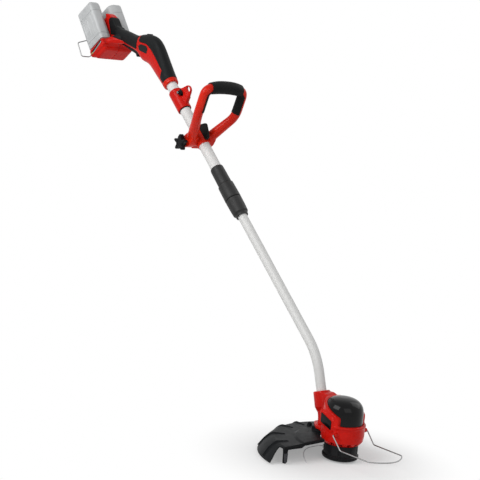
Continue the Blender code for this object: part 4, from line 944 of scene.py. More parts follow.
# %% Shape the star knob
KNOB_IN = 41.4
LOBES = 5
VALLEY_R = 11.5
LOBE_RISE = 10.4
star = []
for turn in spread(0, pi / 60, 120):
    wave = (0.5 + 0.5 * cos(LOBES * (turn - 0.3))) ** 1.35
    reach = VALLEY_R + LOBE_RISE * wave
    star.append((BOLT.x + reach * cos(turn), BOLT.z + reach * sin(turn)))
lobes = slab("lobes", star, KNOB_IN + 4, KNOB_IN + 18.4, SIDE, 2.8, 4)
hub = across("hub", BOLT, -KNOB_IN, -KNOB_IN - 9, 10.5, end_radius=11.5)
knob = melt(gather("star_handle", lobes, hub), 0.7, 4)
dimple = across("dimple", BOLT, -KNOB_IN - 17.4, -KNOB_IN - 22, 7, end_radius=8.5)
carve(knob, dimple, across("hole", BOLT, 0, -53, BOLT_HOLE, 32))
dress(knob, "star_knob", BLACK_SATIN, "star_knob")

# %% [markdown]
# ## The rear handle's body
# Nose, hump and grip are one loft: circles stretched to rounded boxes, joined ring to ring and subdivided.
# The post is a slab and the tray is made of blocks. A voxel remesh fuses all and rounds the inner corners.

# %% Loft the body
RING_POINTS = 24
GROWN = 1.012


def squared(share, power):
    return abs(share) ** (2 / power) * (1 if share > 0 else -1)


def rounded_ring(bm, top, bottom, half_width, power=2.6):
    """A ring between two side-view points, squared up from a circle and grown by what the skin loses."""
    top, bottom = Vector((top[0], 0, top[1])), Vector((bottom[0], 0, bottom[1]))
    made = bmesh.ops.create_circle(bm, segments=RING_POINTS, radius=1)["verts"]
    centre, up = (top + bottom) / 2, (top - bottom) / 2
    for vert in made:
        wide = squared(vert.co.x, power) * half_width * GROWN
        vert.co = (centre + up * squared(vert.co.y, power) * GROWN + Vector((0, wide, 0))) * MM
    return [edge for edge in bm.edges if all(vert in made for vert in edge.verts)]


def loft(name, sections):
    """Join the rings one to the next, close both ends and subdivide the skin."""
    bm = bmesh.new()
    rings = [rounded_ring(bm, *section) for section in sections]
    for low, high in zip(rings, rings[1:]):
        bmesh.ops.bridge_loops(bm, edges=[*low, *high])
    for ring in (rings[0], rings[-1]):
        bmesh.ops.contextual_create(bm, geom=ring)
    bmesh.ops.recalc_face_normals(bm, faces=bm.faces)
    skin = keep(bm, name)
    finer = skin.modifiers.new("finer", "SUBSURF")
    finer.levels = 2
    finer.render_levels = 2
    return settle(skin)


TRUNK = [
    ((-733.9, 821), (-762.1, 790), 21, 2), ((-748.7, 834.5), (-776.9, 803.5), 21, 2),
    ((-772.5, 866), (-799, 820), 20.3, 2.2), ((-797.5, 899.5), (-821.5, 836.5), 19.2, 2.4),
    ((-818.5, 925.5), (-846, 857), 18.5), ((-843, 938), (-866, 864), 18), ((-872, 940), (-886, 867), 18),
    ((-897, 938), (-899, 884), 18), ((-916, 931), (-918, 893), 17, 2.5),
    ((-961, 943), (-958, 903), 16.5, 2.5), ((-1008, 951), (-992, 912), 16, 2.5),
    ((-1022, 950), (-1010, 918), 15, 2.5),
]
FLARE = [
    ((-960, 936), (-958, 908), 13), ((-980, 937), (-974, 907), 15), ((-998, 934), (-984, 906), 25),
    ((-1010, 925), (-996, 905), 40, 3.4), ((-1017, 918), (-1004, 903), 47, 4),
    ((-1025, 912), (-1011, 898), 47, 4),
]
POST = [
    (-1000, 952), (-1000, 920), (-1032, 906), (-1043, 927), (-1060, 966), (-1070, 988), (-1055, 988),
    (-1031, 976), (-1012, 953),
]
TRAY_TOP = 1349
solids = [
    loft("trunk", TRUNK),
    loft("flare", FLARE),
    slab("post", eased(POST, 6), -12, 12, SIDE, 4, 4),
    block("carrier", (-300, -11.4, TRAY_TOP - 5), (-241, 11.4, TRAY_TOP + 77), PACK, 2.5),
    block("tray", (-311, -57, TRAY_TOP - 24), (-241, 57, TRAY_TOP), PACK, 6, 5),
    block("belly", (-304, -50, TRAY_TOP - 32.5), (-248, 50, TRAY_TOP - 12), PACK, 9, 5),
]
form = melt(gather("rear_form", *solids), 1.7, 4)
carve(form, drum("seat", on_shaft(790), on_shaft(838), 60))
print("fused body", len(form.data.polygons), "faces")

# %% [markdown]
# ## Covers and shells
# The soft covers are cut out of the same body along two outlines, so they go on where the red shells end.
# Each piece is then fused again by itself: that rounds its edges, and the seams become fine grooves. The
# covers are swelled a little, as soft covers stand proud of a shell.

# %% Part the covers from the shells
COVER_GAP = 0.25
SHELL_GAP = 0.2
COVER_SWELL = 0.35
MITRE_LIMIT = 0.4


def offset(outline, distance):
    """An anticlockwise outline, grown outwards by a distance."""
    points = [Vector(point) for point in outline]
    grown = []
    for before, here, after in zip([points[-1], *points], points, [*points[1:], points[0]]):
        first = (here - before).normalized()
        second = (after - here).normalized()
        normal = Vector((first.y + second.y, -first.x - second.x)).normalized()
        grown.append(here + normal * distance / max(MITRE_LIMIT, normal.dot(Vector((first.y, -first.x)))))
    return grown


def swell(obj, distance):
    """Move the skin out along its normals."""
    bm = bmesh.new()
    bm.from_mesh(obj.data)
    bm.normal_update()
    for vert in bm.verts:
        vert.co += vert.normal * distance * MM
    bm.to_mesh(obj.data)
    bm.free()
    return obj


def region(outline, grow):
    """All of the body inside an outline in the side view, as a tool."""
    return slab("region", offset(eased(outline, 6, 5), grow), -62, 62, SIDE)


NOSE_COVER = [
    (-895, 965), (-894, 918), (-858, 913), (-834, 898), (-808, 875), (-788, 855), (-774, 842), (-783, 826),
    (-766, 812), (-720, 830), (-780, 965),
]
GRIP_COVER = [
    (-899.5, 965), (-1000, 965), (-1018, 990), (-1028, 978), (-1041, 978.5), (-1050.5, 971), (-1034, 930),
    (-1025, 931), (-990, 921.5), (-951, 908.5), (-927, 902.5), (-903.5, 896.5),
]
front_cover = within(twin(form, "nose_cover"), region(NOSE_COVER, -COVER_GAP))
grip_cover = within(twin(form, "palm_cover"), region(GRIP_COVER, -COVER_GAP))
shells = carve(twin(form, "shells"), region(NOSE_COVER, SHELL_GAP), region(GRIP_COVER, SHELL_GAP))
for piece in (front_cover, grip_cover):
    swell(melt(piece, 1, 5), COVER_SWELL)
right_shell = melt(half_of(shells, "handle_half_right", -1), 1.05, 5)
left_shell = melt(half_of(shells, "handle_half_left", 1), 1.05, 5)
bpy.data.objects.remove(shells)
print("covers", len(front_cover.data.polygons), len(grip_cover.data.polygons), "faces")

# %% [markdown]
# ## Openings in the covers and shells
# The tube, the lead, the trigger, the switch and the board each get their room, cut a little wider than the
# piece that goes there. The strip's seat is cut only on the right and the screws' wells only on the left.

# %% Open the bores, the trigger's slot and the pockets
TRIGGER_SLOT = [(-996.5, 890), (-899, 866), (-899, 912), (-945, 920), (-996.5, 922)]
SCREWS = [(-806, 850), (-848, 878), (-905, 893)]
DUCT_R = 5


def tube_bore():
    return drum("bore", on_shaft(810), on_shaft(UPPER_TOP + FIT), UPPER_R + FIT, 72)


def lead_duct():
    return bar("duct", [on_shaft(890), on_shaft(907), (-840, 0, 884), (-866, 0, 890)], DUCT_R)


button_hole = block("button_hole", (-877.5, -5.5, 926), (-858.5, 5.5, 960))
carve(front_cover, tube_bore(), lead_duct(), button_hole)
for piece in (right_shell, left_shell, grip_cover):
    carve(piece, slab("slot", eased(TRIGGER_SLOT, 3, 3), -8.6, 8.6, SIDE, 1, 2))
for shell in (right_shell, left_shell):
    switch_pocket = block("switch_pocket", (-897, -7.3, 882), (-865.7, 7.3, 900.3))
    board_pocket = block("board_pocket", (-294, -28, TRAY_TOP - 19), (-250, 28, TRAY_TOP - 9), PACK)
    carve(shell, tube_bore(), lead_duct(), switch_pocket, board_pocket)
strip_seat = eased([(-247, -12.5), (-247, -2.5), (-306, -10), (-306, -19.5)], 1.5, 2)
strip_seat = [Vector((depth, TRAY_TOP + rise)) for depth, rise in strip_seat]
carve(right_shell, slab("strip_seat", strip_seat, 53.4, 70, PACK @ SIDE))
carve(left_shell, *[across("screw_well", (x, 0, z), 14.5, 40, 3.6, 32) for x, z in SCREWS])
dress(slab("strip_bed", strip_seat, 53.4, 54.4, PACK @ SIDE), "rear_body", BLACK_SATIN)
dress(front_cover, "rear_body", SOFT_COVER, "front_cover")
dress(grip_cover, "rear_body", SOFT_COVER, "grip_cover")
dress(right_shell, "rear_body", RED_SHELL, "handle_shell_right")
dress(left_shell, "rear_body", RED_SHELL, "handle_shell_left")

# %% [markdown]
# ## Small fittings of the rear handle
# Screws hold the shells from the left, so their wells are on that side. The black inlays are thin skins of
# the body itself, cut by an outline, and so they follow its curve.

# %% Fit screws and inlays


def screw(start, end, radius, name="screw"):
    """A screw head with a cross recess. It faces from start to end."""
    head = drum(name, start, end, radius, 32, radius * 0.9, 0.3)
    start, end = Vector(start), Vector(end)
    place = Matrix.Translation(end * MM) @ turned_to(end - start)
    arms = [block("arm", (-x, -y, -0.9), (x, y, 1), place) for x, y in ((0.45, 1.9), (1.9, 0.45))]
    return carve(head, *arms)


def inlay(name, outline, low, high, rise):
    """A skin of the body that stands a little proud, cut by an outline in the side view."""
    return within(swell(twin(form, name), rise), slab("outline", eased(outline, 2), low, high, SIDE))


handle_screws = gather("handle_screws", *[screw((x, 13.5, z), (x, 15.8, z), 3) for x, z in SCREWS])
dress(handle_screws, "rear_body", BRUSHED)
nose_patch = inlay("nose_patch", [(-782, 827), (-778, 848), (-761, 837), (-765, 818)], 14, 40, 0.45)
dress(carve(nose_patch, tube_bore()), "rear_body", BLACK_SATIN)
plate_outline = [(-893.5, 907), (-888, 894.5), (-854, 887), (-850, 901), (-858, 908), (-882, 911.5)]
dress(inlay("flank_plate", plate_outline, 10, 40, 0.5), "rear_body", BLACK_GLOSS, "side_plate")
bpy.data.objects.remove(form)

# %% [markdown]
# ## The nose ring
# A red ring with one fine groove closes the nose where the tube goes in. It is turned about the shaft.

# %% Turn the nose ring
nose = [
    (16, 838),
    *eased([(20.8, 837.8), (21.4, 836), (21.2, 834), (20, 833.3), (20, 832.3), (20.9, 831.5)], 0.5, 3, False),
    *eased([(20.7, 829.2), (20, 827), (18.6, 826), (15.2, 826)], 0.8, 3, closed=False),
    (14.8, 827), (14.8, 838),
]
dress(turned("nose_collar", nose, SHAFT), "rear_body", RED_LOOP, "nose_ring")

# %% [markdown]
# ## Trigger, lock button and switch
# The trigger is a bevelled lever with five fine grooves under the finger. The lock button has three. The
# switch and the board sit inside the shells and are modelled plainly, with their own finishes.

# %% Make the controls
BOARD_TOP = TRAY_TOP - 17.1
CHIPS = [
    (-288, -20, 9, 9, 2.2), (-275, -18, 6, 12, 3.4), (-264, -6, 8, 8, 4), (-288, 4, 12, 7, 2),
    (-270, 12, 7, 10, 5),
]


def grooved(obj, spots, reach, radius):
    """Cut a groove across the piece at each spot."""
    return carve(obj, *[across("groove", spot, -reach, reach, radius, 12) for spot in spots])


trigger_outline = [
    (-993, 914), (-991, 908.5), (-971, 902.5), (-942, 892.5), (-914, 884), (-911, 877), (-904, 876),
    (-902, 896), (-945, 909), (-985, 918),
]
trigger = slab("finger_lever", eased(trigger_outline, 4), -8.2, 8.2, SIDE, 2.2, 4)
grooved(trigger, [(-965 + 9 * step, 0, 900.2 - 2.96 * step) for step in range(5)], 12, 1)
dress(trigger, "trigger", BLACK_SATIN, "trigger")
button = block("push_button", (-877, -5, 930), (-859, 5, 941.5), WORLD, 2.2, 4)
grooved(button, [(x, 0, 941.6) for x in (-872.5, -868, -863.5)], 8, 0.8)
dress(button, "lock_button", BLACK_SATIN, "lock_button")
case = block("case", (-896.6, -7, 882.3), (-866, 7, 900), WORLD, 1, 2)
ribs = [block("rib", (x, -7.2, 884), (x + 1.2, 7.2, 898), WORLD, 0.3, 1) for x in (-890, -886, -876, -872)]
dress(gather("micro_switch", case, *ribs), "rear_body", BLACK_SATIN, "trigger_switch")
board = block("board", (-292, -26, BOARD_TOP - 1.6), (-252, 26, BOARD_TOP), PACK, 0.2, 1)
chips = []
for depth, side, long, wide, tall in CHIPS:
    low = Vector((depth, side, BOARD_TOP - 0.1))
    chips.append(block("chip", low, low + Vector((long, wide, tall)), PACK, 0.3, 1))
dress(gather("motor_board", board, *chips), "rear_body", BOARD, "control_board")

# %% [markdown]
# ## Metal on the tray
# A toothed strip lies in a recess of the tray's right flank, with a small brass tab at its rear end. Behind
# the pack a bent wire hooks the tool onto a rail or a nail.

# %% Fit the strip and the hook
TEETH = 13
TRAY_REAR = -311.3
WIRE_R = 1.5
teeth = []
for index in range(TEETH * 2 + 1):
    share = index / (TEETH * 2)
    bite = 2.4 if index % 2 else 0
    teeth.append((-249.5 - 51.5 * share, TRAY_TOP - 6.5 - 7.1 * share - bite))
teeth += [(-301, TRAY_TOP - 17), (-249.5, TRAY_TOP - 10.5)]
strip = slab("toothed_strip", teeth, 55, 56.2, PACK @ SIDE, 0.15, 1)
dress(strip, "rear_body", BRUSHED, "tray_strip", sharp=20)
tab_outline = [(-303.5, -17.4), (-296, -16.4), (-296, -12.5), (-303.5, -13.6)]
tab_outline = eased([(depth, TRAY_TOP + rise) for depth, rise in tab_outline], 0.8, 3)
dress(slab("strip_tab", tab_outline, 54.4, 57.2, PACK @ SIDE, 0.3, 2), "rear_body", BRASS)
HOOK = [
    (0, -48, -10), (-12, -50, -11), (-12, -77, -11), (-9, -77, 33), (-12, -28, 50), (-12, -24, -11),
    (0, -24, -11),
]
hook_route = [on_pack(TRAY_REAR + back, side, TRAY_TOP + rise) for back, side, rise in HOOK]
hook = bar("hanging_hook", eased(hook_route, 6, 6, closed=False), WIRE_R)
dress(hook, "rear_body", ZINC_WIRE, "hook_wire")

# %% [markdown]
# ## Battery packs
# A pack is an extruded cross-section with one chamfered shoulder, and all its upper edges are rolled. Fine
# grooves part the lid and the foot, flutes ease the grip, and below are a channel and a socket.

# %% Build the packs
PACK_FRONT = -240
PACK_REAR = -310
PACK_FOOT = TRAY_TOP + 0.6
PACK_TOP = TRAY_TOP + 123.5
GROOVE_DEEP = 1.1
GROOVE_WIDE = 0.9
FLUTES_AT = [(-296, 58.2), (-276, 58.2), (-256, 58.2), *[(PACK_REAR - 1.4, place) for place in (22, 35, 48)]]


def rolled_block(name, outline):
    """An outline with a wide roll on its upright and top edges and a small one below."""
    bm = raised(outline, PACK_FOOT, PACK_TOP)
    upper = [edge for edge in bm.edges if max(vert.co.z for vert in edge.verts) > (PACK_FOOT + 1) * MM]
    round_edges(bm, upper, 8.5, 6)
    foot = [edge for edge in bm.edges if all(vert.co.z < (PACK_FOOT + 0.01) * MM for vert in edge.verts)]
    round_edges(bm, foot, 1.2, 2)
    return keep(bm, name, PACK)


def ring_groove(outline, height):
    """A frame round an outline, for cutting a groove."""
    top = height + GROOVE_WIDE
    frame_tool = slab("frame", offset(outline, 5), height, top, PACK)
    return carve(frame_tool, slab("inside", offset(outline, -GROOVE_DEEP), height - 1, top + 1, PACK))


def box_on(side, name, low, high, edge=0.0, segments=3):
    """A box along the packs. Its places beside the middle are given for the left pack."""
    low, high = [(depth, side * place, height) for depth, place, height in (low, high)]
    return block(name, low, high, PACK, edge, segments)


def make_pack(side, word):
    """A pack's case and the button on it."""
    outline = [(PACK_REAR, 13), (PACK_FRONT - 13, 13), (PACK_FRONT, 26), (PACK_FRONT, 56), (PACK_REAR, 57)]
    outline = [(depth, side * place) for depth, place in outline]
    if side < 0:
        outline.reverse()
    tools = [ring_groove(eased(outline, 9.2, 6), TRAY_TOP + height) for height in (17, 93)]
    tools += [
        box_on(side, "neck", (-293.4, 8, PACK_FOOT - 5), (-274.6, 17, TRAY_TOP + 65)),
        box_on(side, "channel", (-295.4, 15.2, PACK_FOOT - 5), (-272.6, 19.4, TRAY_TOP + 66)),
        box_on(side, "socket", (-292, 21.4, PACK_FOOT - 5), (-276, 51, TRAY_TOP + 11)),
        box_on(side, "well", (-283.4, 24.6, PACK_TOP - 12), (-260.6, 45.4, PACK_TOP + 9), 1, 2),
    ]
    for depth, place in FLUTES_AT:
        low, high = (on_pack(depth, side * place, TRAY_TOP + height) for height in (24, 86))
        tools.append(drum("flute", low, high, 3.2, 24, edge=1.2))
    case = carve(rolled_block(f"pack_{word}", outline), *tools)
    dress(case, f"pack_{word}", PACK_PALE, f"pack_case_{word}")
    key = box_on(side, f"pack_key_{word}", (-283, 25, PACK_TOP - 8), (-261, 45, PACK_TOP + 1), 2)
    grooved(key, [on_pack(depth, side * 35, PACK_TOP + 1.2) for depth in (-277, -272, -267)], 15, 0.9)
    dress(key, f"pack_button_{word}", BLACK_SATIN, f"pack_button_{word}")


print("pack", PACK_TOP - PACK_FOOT, "mm high")

# %% [markdown]
# ## Rails and terminals
# Each pack slides onto a rail with a wider head. Beside it stand four brass blades on a base. The left
# side and the right one are made by the same functions.

# %% Make both packs and their rails


def make_rail(side, word):
    """The rail and the terminals that a pack slides onto."""
    web = box_on(side, "web", (-293, 11.7, TRAY_TOP + 4), (-275, 17, TRAY_TOP + 64), 0.6, 2)
    head = box_on(side, "head", (-295, 15.6, TRAY_TOP + 4), (-273, 19, TRAY_TOP + 64), 0.8, 2)
    dress(gather(f"guide_rail_{word}", web, head), "rear_body", BLACK_SATIN, f"rail_{word}")
    base = box_on(side, f"terminal_base_{word}", (-290, 23, TRAY_TOP + 0.3), (-278, 49, TRAY_TOP + 3), 0.5, 2)
    dress(base, "rear_body", BLACK_SATIN)
    blades = [
        box_on(side, "blade", (-289, near, TRAY_TOP + 2), (-279, near + 1.2, TRAY_TOP + 9), 0.4, 2)
        for near in spread(27, 5.5, 4)
    ]
    dress(gather(f"terminal_blades_{word}", *blades), "rear_body", BRASS, f"terminals_{word}")


SIDES = ((1, "left"), (-1, "right"))
for side, word in SIDES:
    make_pack(side, word)
    make_rail(side, word)

# %% [markdown]
# ## The motor cap and the motor
# The cap is one glossy dome turned from a smooth outline. The motor inside has a ringed can and a steel
# shaft with a flat, and both are turned too.

# %% Turn the cap and the motor
CAP_R = 45.5
CAP_TOP = 147.5
CAP_FOOT = 64
CAP_WALL = 2.5
LEAN_FROM = 92
LEAN_OVER = 57
LEAN_BY = 8
DOME = [(0, 0), (0.17, 0.2), (0.33, 0.8), (0.58, 3.5), (0.77, 8), (0.91, 15), (0.98, 23), (1, 33)]


def cap_outline(grow=0.0):
    """The dome's line from its top down, grown by a distance."""
    route = [(CAP_R * share + (grow if share else 0), CAP_TOP - drop + grow, 0) for share, drop in DOME]
    return [(max(point.x, 0), point.y) for point in smooth(route, 5)]


def lean(obj):
    """Shift the dome's upper part a little towards the shaft."""
    for vert in obj.data.vertices:
        vert.co.x -= LEAN_BY * MM * max(0.0, (vert.co.z / MM - LEAN_FROM) / LEAN_OVER) ** 1.6
    return obj


cap = [*cap_outline(), (CAP_R, CAP_FOOT), (CAP_R - CAP_WALL, CAP_FOOT), *reversed(cap_outline(-CAP_WALL))]
motor_cap = carve(lean(turned("motor_dome", cap, steps=128)), block("notch", (-50, -6, 50), (-30, 6, 84)))
dress(motor_cap, "lower_shaft", BLACK_GLOSS, "motor_cap")
can = [
    (20, 106),
    *eased([(25, 103.5), (25, 78), (24.2, 77.4), (24.2, 76), (25, 75.4), (25, 44.8)], 0.4, 2, False),
    (12, 44.8), (12, 41), (4.3, 41), (4.3, 106),
]
motor = carve(turned("motor_can", can), *drums_round(spread(0, 60, 6), 15.5, 101, 110, 3.2))
dress(motor, "lower_shaft", BRUSHED, "motor")
spindle = turned("spindle", [(0, 105), (3.4, 105), (4, 104.2), (4, 25), (3.3, 24), (0, 24)], steps=48)
carve(spindle, block("flat", (3.3, -5, 20), (6, 5, 36)))
dress(spindle, "cutting_head", BRUSHED, "drive_shaft")

# %% [markdown]
# ## The red head housing
# Bowl, saddle, spine, tongue, socket, pads and lugs are built as simple solids, and one voxel remesh turns
# them into a single moulding with fillets. The cavity, vents and bores are cut, and it is split in halves.

# %% Mould the head housing
HOUSING_R = 51.5
PIVOT = Vector((23.6, 0, 70.1))
PIVOT_OUT = 57.8
bowl_outline = [
    (0, 88.5), (52.4, 88.5), (52.6, 84), (50.8, 82), (51.2, 62), (49, 48), (42, 40.3), (41, 40.3), (0, 40.3),
]
saddle_outline = [(24.7, 79), (24.7, 108), (-16, 129), (-38, 140), (-60, 143), (-60, 79)]
spine_outline = [
    (-30, 52), (-38, 138), (-54, 145), (-78, 143), (-84, 122), (-75, 104), (-70, 88), (-66, 61), (-52, 60.5),
]
tongue_outline = [(-40, -34), (-40, 34), (-60, 30), (-84, 12), (-86, 0), (-84, -12), (-60, -30)]
pad_outline = [(-29, 84), (14, 72), (14, 104), (-8, 112), (-29, 118)]
saddle = turned("saddle", [(0, 150), (48.5, 150), (51.2, 110), (51.2, 80), (0, 80)], steps=128)
solids = [
    turned("bowl", eased(bowl_outline, 1.6, closed=False), steps=128),
    within(saddle, slab("saddle_cut", eased(saddle_outline, 5), -60, 60, SIDE)),
    slab("spine", eased(spine_outline, 5), -17, 17, SIDE, 5, 4, 50),
    slab("tongue", eased(tongue_outline, 4), 60, 70, WORLD, 3),
    drum("socket", NECK_FOOT + UP_NECK * 2, NECK_FOOT + UP_NECK * 41, 21, 72, 20, 2.5),
    drum("throat", NECK_FOOT - UP_NECK * 14, NECK_FOOT + UP_NECK * 4, 14, 72, 20.5, 1),
    slab("pads", eased(pad_outline, 3), -51.8, 51.8, SIDE, 2.5),
    *[across("lug", PIVOT, side * 40, side * (PIVOT_OUT - 3.6), 5.5, edge=0.8) for side in (-1, 1)],
]
housing = melt(gather("head_form", *solids), 1.2, 4)
print("head form", len(housing.data.polygons), "faces")
cavity = [*cap_outline(FIT), (CAP_R + FIT, 62), (40, 47.5), (28, 44.5), (0, 44.5)]
wire_holes = [
    across("wire_hole", PIVOT, side * (PIVOT_OUT - 9), side * (PIVOT_OUT + 9), 1.9, 24) for side in (-1, 1)
]
carve(
    housing,
    lean(turned("cavity", cavity, steps=128)),
    drum("bearing_seat", (0, 0, 30), (0, 0, 50), 12.3, 64),
    drum("tube_hole", NECK_FOOT, NECK_FOOT + UP_NECK * 80, LOWER_R + FIT, 72),
    bar("duct", [(-25, 0, 80), BELOW_NECK, NECK_FOOT + UP_NECK * 5], DUCT_R),
    *blocks_round(spread(-75, 25, 7), (38, -5, 42.2), (62, 5, 48), 1.4),
    *wire_holes,
)
right_half = half_of(housing, "head_half_right", -1)
left_half = half_of(housing, "head_half_left", 1)
bpy.data.objects.remove(housing)
dress(right_half, "lower_shaft", RED_SHELL, "motor_housing_right")
dress(left_half, "lower_shaft", RED_SHELL, "motor_housing_left")
plate_shape = eased([(-24, 89), (10, 78), (9.5, 99), (-24.5, 112)], 3, 5)
dress(slab("head_badge_plate", plate_shape, 51.9, 53.3, SIDE, 0.5), "lower_shaft", BLACK_GLOSS, "head_plate")

# %% [markdown]
# ## The guard
# The guard's section is spun round the head through 140 degrees, and its near corner is notched beside
# the line knife. Walls and ribs are slabs that stand along a radius.

# %% Spin the guard
GUARD_NEAR = 262
GUARD_FAR = 122
GUARD_BACK = 50.3
GUARD_WALL = 2.7
RIBS = (247, 223, 196, 177, 150)
BOSS_R = 119
BOSS_ANGLE = 175
knee = smooth([(160, 42), (169, 37), (180, 26), (189, 13), (195, 4)], 5)
fall = [*[Vector(point) for point in ((GUARD_BACK, 51), (62, 51), (107, 47.5), (112, 44.5))], *knee]


def guard_section():
    """The guard's upper line, and the same line one wall's thickness below it."""
    lower = []
    for index, here in enumerate(fall):
        along = (fall[min(index + 1, len(fall) - 1)] - fall[max(index - 1, 0)]).normalized()
        lower.append(Vector((here.x + along.y * GUARD_WALL, here.y - along.x * GUARD_WALL)))
    lower[0].x = GUARD_BACK
    lower[-1].y = fall[-1].y
    return [*fall, *reversed(lower)]


def make_fan():
    """The section spun from the near end to the far one, with a notch in its near corner."""
    bm = bmesh.new()
    ring = [bm.verts.new(polar(point.x, GUARD_NEAR, point.y) * MM) for point in guard_section()]
    face = bm.faces.new(ring)
    bmesh.ops.spin(
        bm, geom=[face, *face.edges, *ring], angle=radians(GUARD_FAR - GUARD_NEAR), steps=84, axis=(0, 0, 1),
        cent=(0, 0, 0), use_duplicate=False,
    )
    bmesh.ops.holes_fill(bm, edges=[edge for edge in bm.edges if edge.is_boundary])
    bmesh.ops.recalc_face_normals(bm, faces=bm.faces)
    corners = ((166, 6), (166, -6), (215, -1), (230, 9))
    notch = [polar(radius, GUARD_NEAR + past).xy for radius, past in corners]
    return carve(keep(bm, "fan"), slab("notch", notch, -10, 70))


def radial_slab(name, outline, thick, degrees, edge=0.6):
    place = Matrix.Rotation(radians(degrees), 4, "Z") @ SIDE
    return slab(name, outline, -thick / 2, thick / 2, place, edge, 2, 50)


def rib(degrees):
    skirt = [point for point in fall if point.x > 150][:-1]
    outline = [(132, 42), (134, 45.2), *[(point.x + 2.2, point.y + 2.8) for point in skirt], (193, 11)]
    outline += [(point.x - 1.4, point.y - 1.4) for point in reversed(skirt)]
    return radial_slab("rib", outline, 3.2, degrees)


print("guard section", len(guard_section()), "points")

# %% [markdown]
# ## Walls, ribs and shoe
# A wall closes each end of the guard, ribs stand on its skirt and a shoe grips the housing. One remesh
# fuses them all with small fillets. The line knife stands at the near wall.

# %% Fuse the guard
back = [(GUARD_BACK, 50), (GUARD_BACK, 44)]
near_wall = [*back, (106, 39), (112, 34.5), (151, 33), (152, 3), (155, 1), (163, 3), (165, 37.5)]
far_wall = [*back, (106, 37), (112, 33), (160, 31), (167, 38)]
TOP = [(160, 41), (108, 46)]
arc = [polar(HOUSING_R + 0.6, angle).xy for angle in spread(158, 2.75, 17)]
solids = [
    make_fan(),
    radial_slab("near_wall", [*near_wall, *TOP], 3, GUARD_NEAR - 1.2),
    radial_slab("far_wall", [*far_wall, *TOP], 3, GUARD_FAR + 1.2),
    *[rib(degrees) for degrees in RIBS],
    drum("boss", polar(BOSS_R, BOSS_ANGLE, 42), polar(BOSS_R, BOSS_ANGLE, 54), 7, 40, 5, 1),
    slab("shoe", [*arc, polar(86, 192).xy, polar(86, 168).xy], 47.7, 59.2, WORLD, 1.6, 3, 50),
]
guard = melt(gather("grass_guard", *solids), 1.15, 2)
carve(guard, drum("hole", polar(BOSS_R, BOSS_ANGLE, 50.5), polar(BOSS_R, BOSS_ANGLE, 60), 2.6, 32))
dress(guard, "lower_shaft", GUARD_BLACK, "guard")
for side, word in SIDES:
    head = screw((-66, side * 9, 47), (-66, side * 9, 44.4), 4, f"guard_bolt_{word}")
    dress(head, "lower_shaft", BRUSHED, f"guard_screw_{word}")
blade_outline = [(152, 5), (157, 3.6), (161.5, 7), (162.5, 26), (152, 26)]
blade = radial_slab("cutter_blade", blade_outline, 1.2, GUARD_NEAR - 1.2, 0.35)
blade.data.transform(Matrix.Translation(polar(2.4, GUARD_NEAR + 88.8) * MM))
dress(blade, "lower_shaft", BLUED, "line_knife", sharp=20)

# %% [markdown]
# ## The distance wire
# A zinc-plated wire swings down in front of the head and keeps it off walls and trees. It is bent from one
# length, with a short turn into each lug of the housing.

# %% Bend the distance wire
front = [(139 + 26 * (1 - share**2), 56 * share, 41) for share in spread(-0.8, 0.2, 9)]
wire_route = [
    PIVOT - SIDEWAYS * (PIVOT_OUT - 8), PIVOT - SIDEWAYS * PIVOT_OUT, (50.7, -56.8, 41), (138, -56, 41),
    *front,
    (138, 56, 41), (50.7, 56.8, 41), PIVOT + SIDEWAYS * PIVOT_OUT, PIVOT + SIDEWAYS * (PIVOT_OUT - 8),
]
dress(bar("distance_wire", eased(wire_route, 4, closed=False), WIRE_R), "wire_guard", ZINC_WIRE, "wire_guard")

# %% [markdown]
# ## The spool
# Cup, cover, reel and button are turned. The cup has shallow grooves at nine of ten equal places, and
# the rims of the cover and of the button are notched so that they fling grass off.

# %% Turn the spool
PLAIN = 6
cup = [
    *eased([(4.3, 39.3), (39.2, 39.3), (40, 38), (40, 15)], 0.8, 3, closed=False),
    (37.5, 15), (37.5, 36.5), (4.3, 36.5),
]
line_hole = drum("hole", polar(34, EYELET_ANGLE, EYELET_Z), polar(46, EYELET_ANGLE, EYELET_Z), 3.3, 40)
places = spread(EYELET_ANGLE + 18, 36, 10)
places.pop(PLAIN)
spool_cup = turned("spool_cup", cup)
carve(spool_cup, line_hole, *blocks_round(places, (39.1, -3.2, 17.5), (45, 3.2, 35.5), 0.8))
dress(spool_cup, "cutting_head", BLACK_SATIN, "spool_housing")
flange = [
    (40.6, 14.7), *eased([(43, 13), (43, 8.5), (41, 5), (36, 2.4), (30, 2), (16.5, 2)], 1.2, 3, closed=False),
    (16.5, 4.4), (34.5, 4.4), (37.2, 8), (37.2, 14.7),
]
spool_cover = turned("spool_flange", flange)
carve(spool_cover, *blocks_round(spread(0, 18, 20), (42.1, -1.6, 4), (46, 1.6, 12), 0.5))
dress(spool_cover, "cutting_head", BLACK_SATIN, "spool_cover")
reel = turned("winding_reel", [(35, 30), (35, 28), (14, 28), (14, 8), (35, 8), (35, 6), (8.8, 6), (8.8, 30)])
carve(reel, *drums_round(spread(15, 60, 6), 24, 27, 31, 4, 32))
dress(reel, "bump_feed", BLACK_SATIN, "line_reel")
layers = []
for height in spread(27.7, -1.617, 12):
    layers += [(30, height - 0.1), (30.6, height - 0.81), (30, height - 1.5)]
winding = turned("wound_line", [*layers, (14.3, 8.3), (14.3, 27.7)])
dress(winding, "bump_feed", WINDING, "line_winding", sharp=70)
knob_outline = [
    (0, 16), (8.5, 16), (8.5, 5.7), (16, 5.7),
    *eased([(16, 2), (14, 0.2), (6, 0), (5, 0.8), (0, 0.8)], 0.8, 3, closed=False),
]
tap_knob = turned("tap_button", knob_outline)
carve(tap_knob, *blocks_round(spread(0, 30, 12), (15.2, -1, -1), (18, 1, 4.6)))
dress(tap_knob, "bump_feed", BLACK_SATIN, "bump_knob")
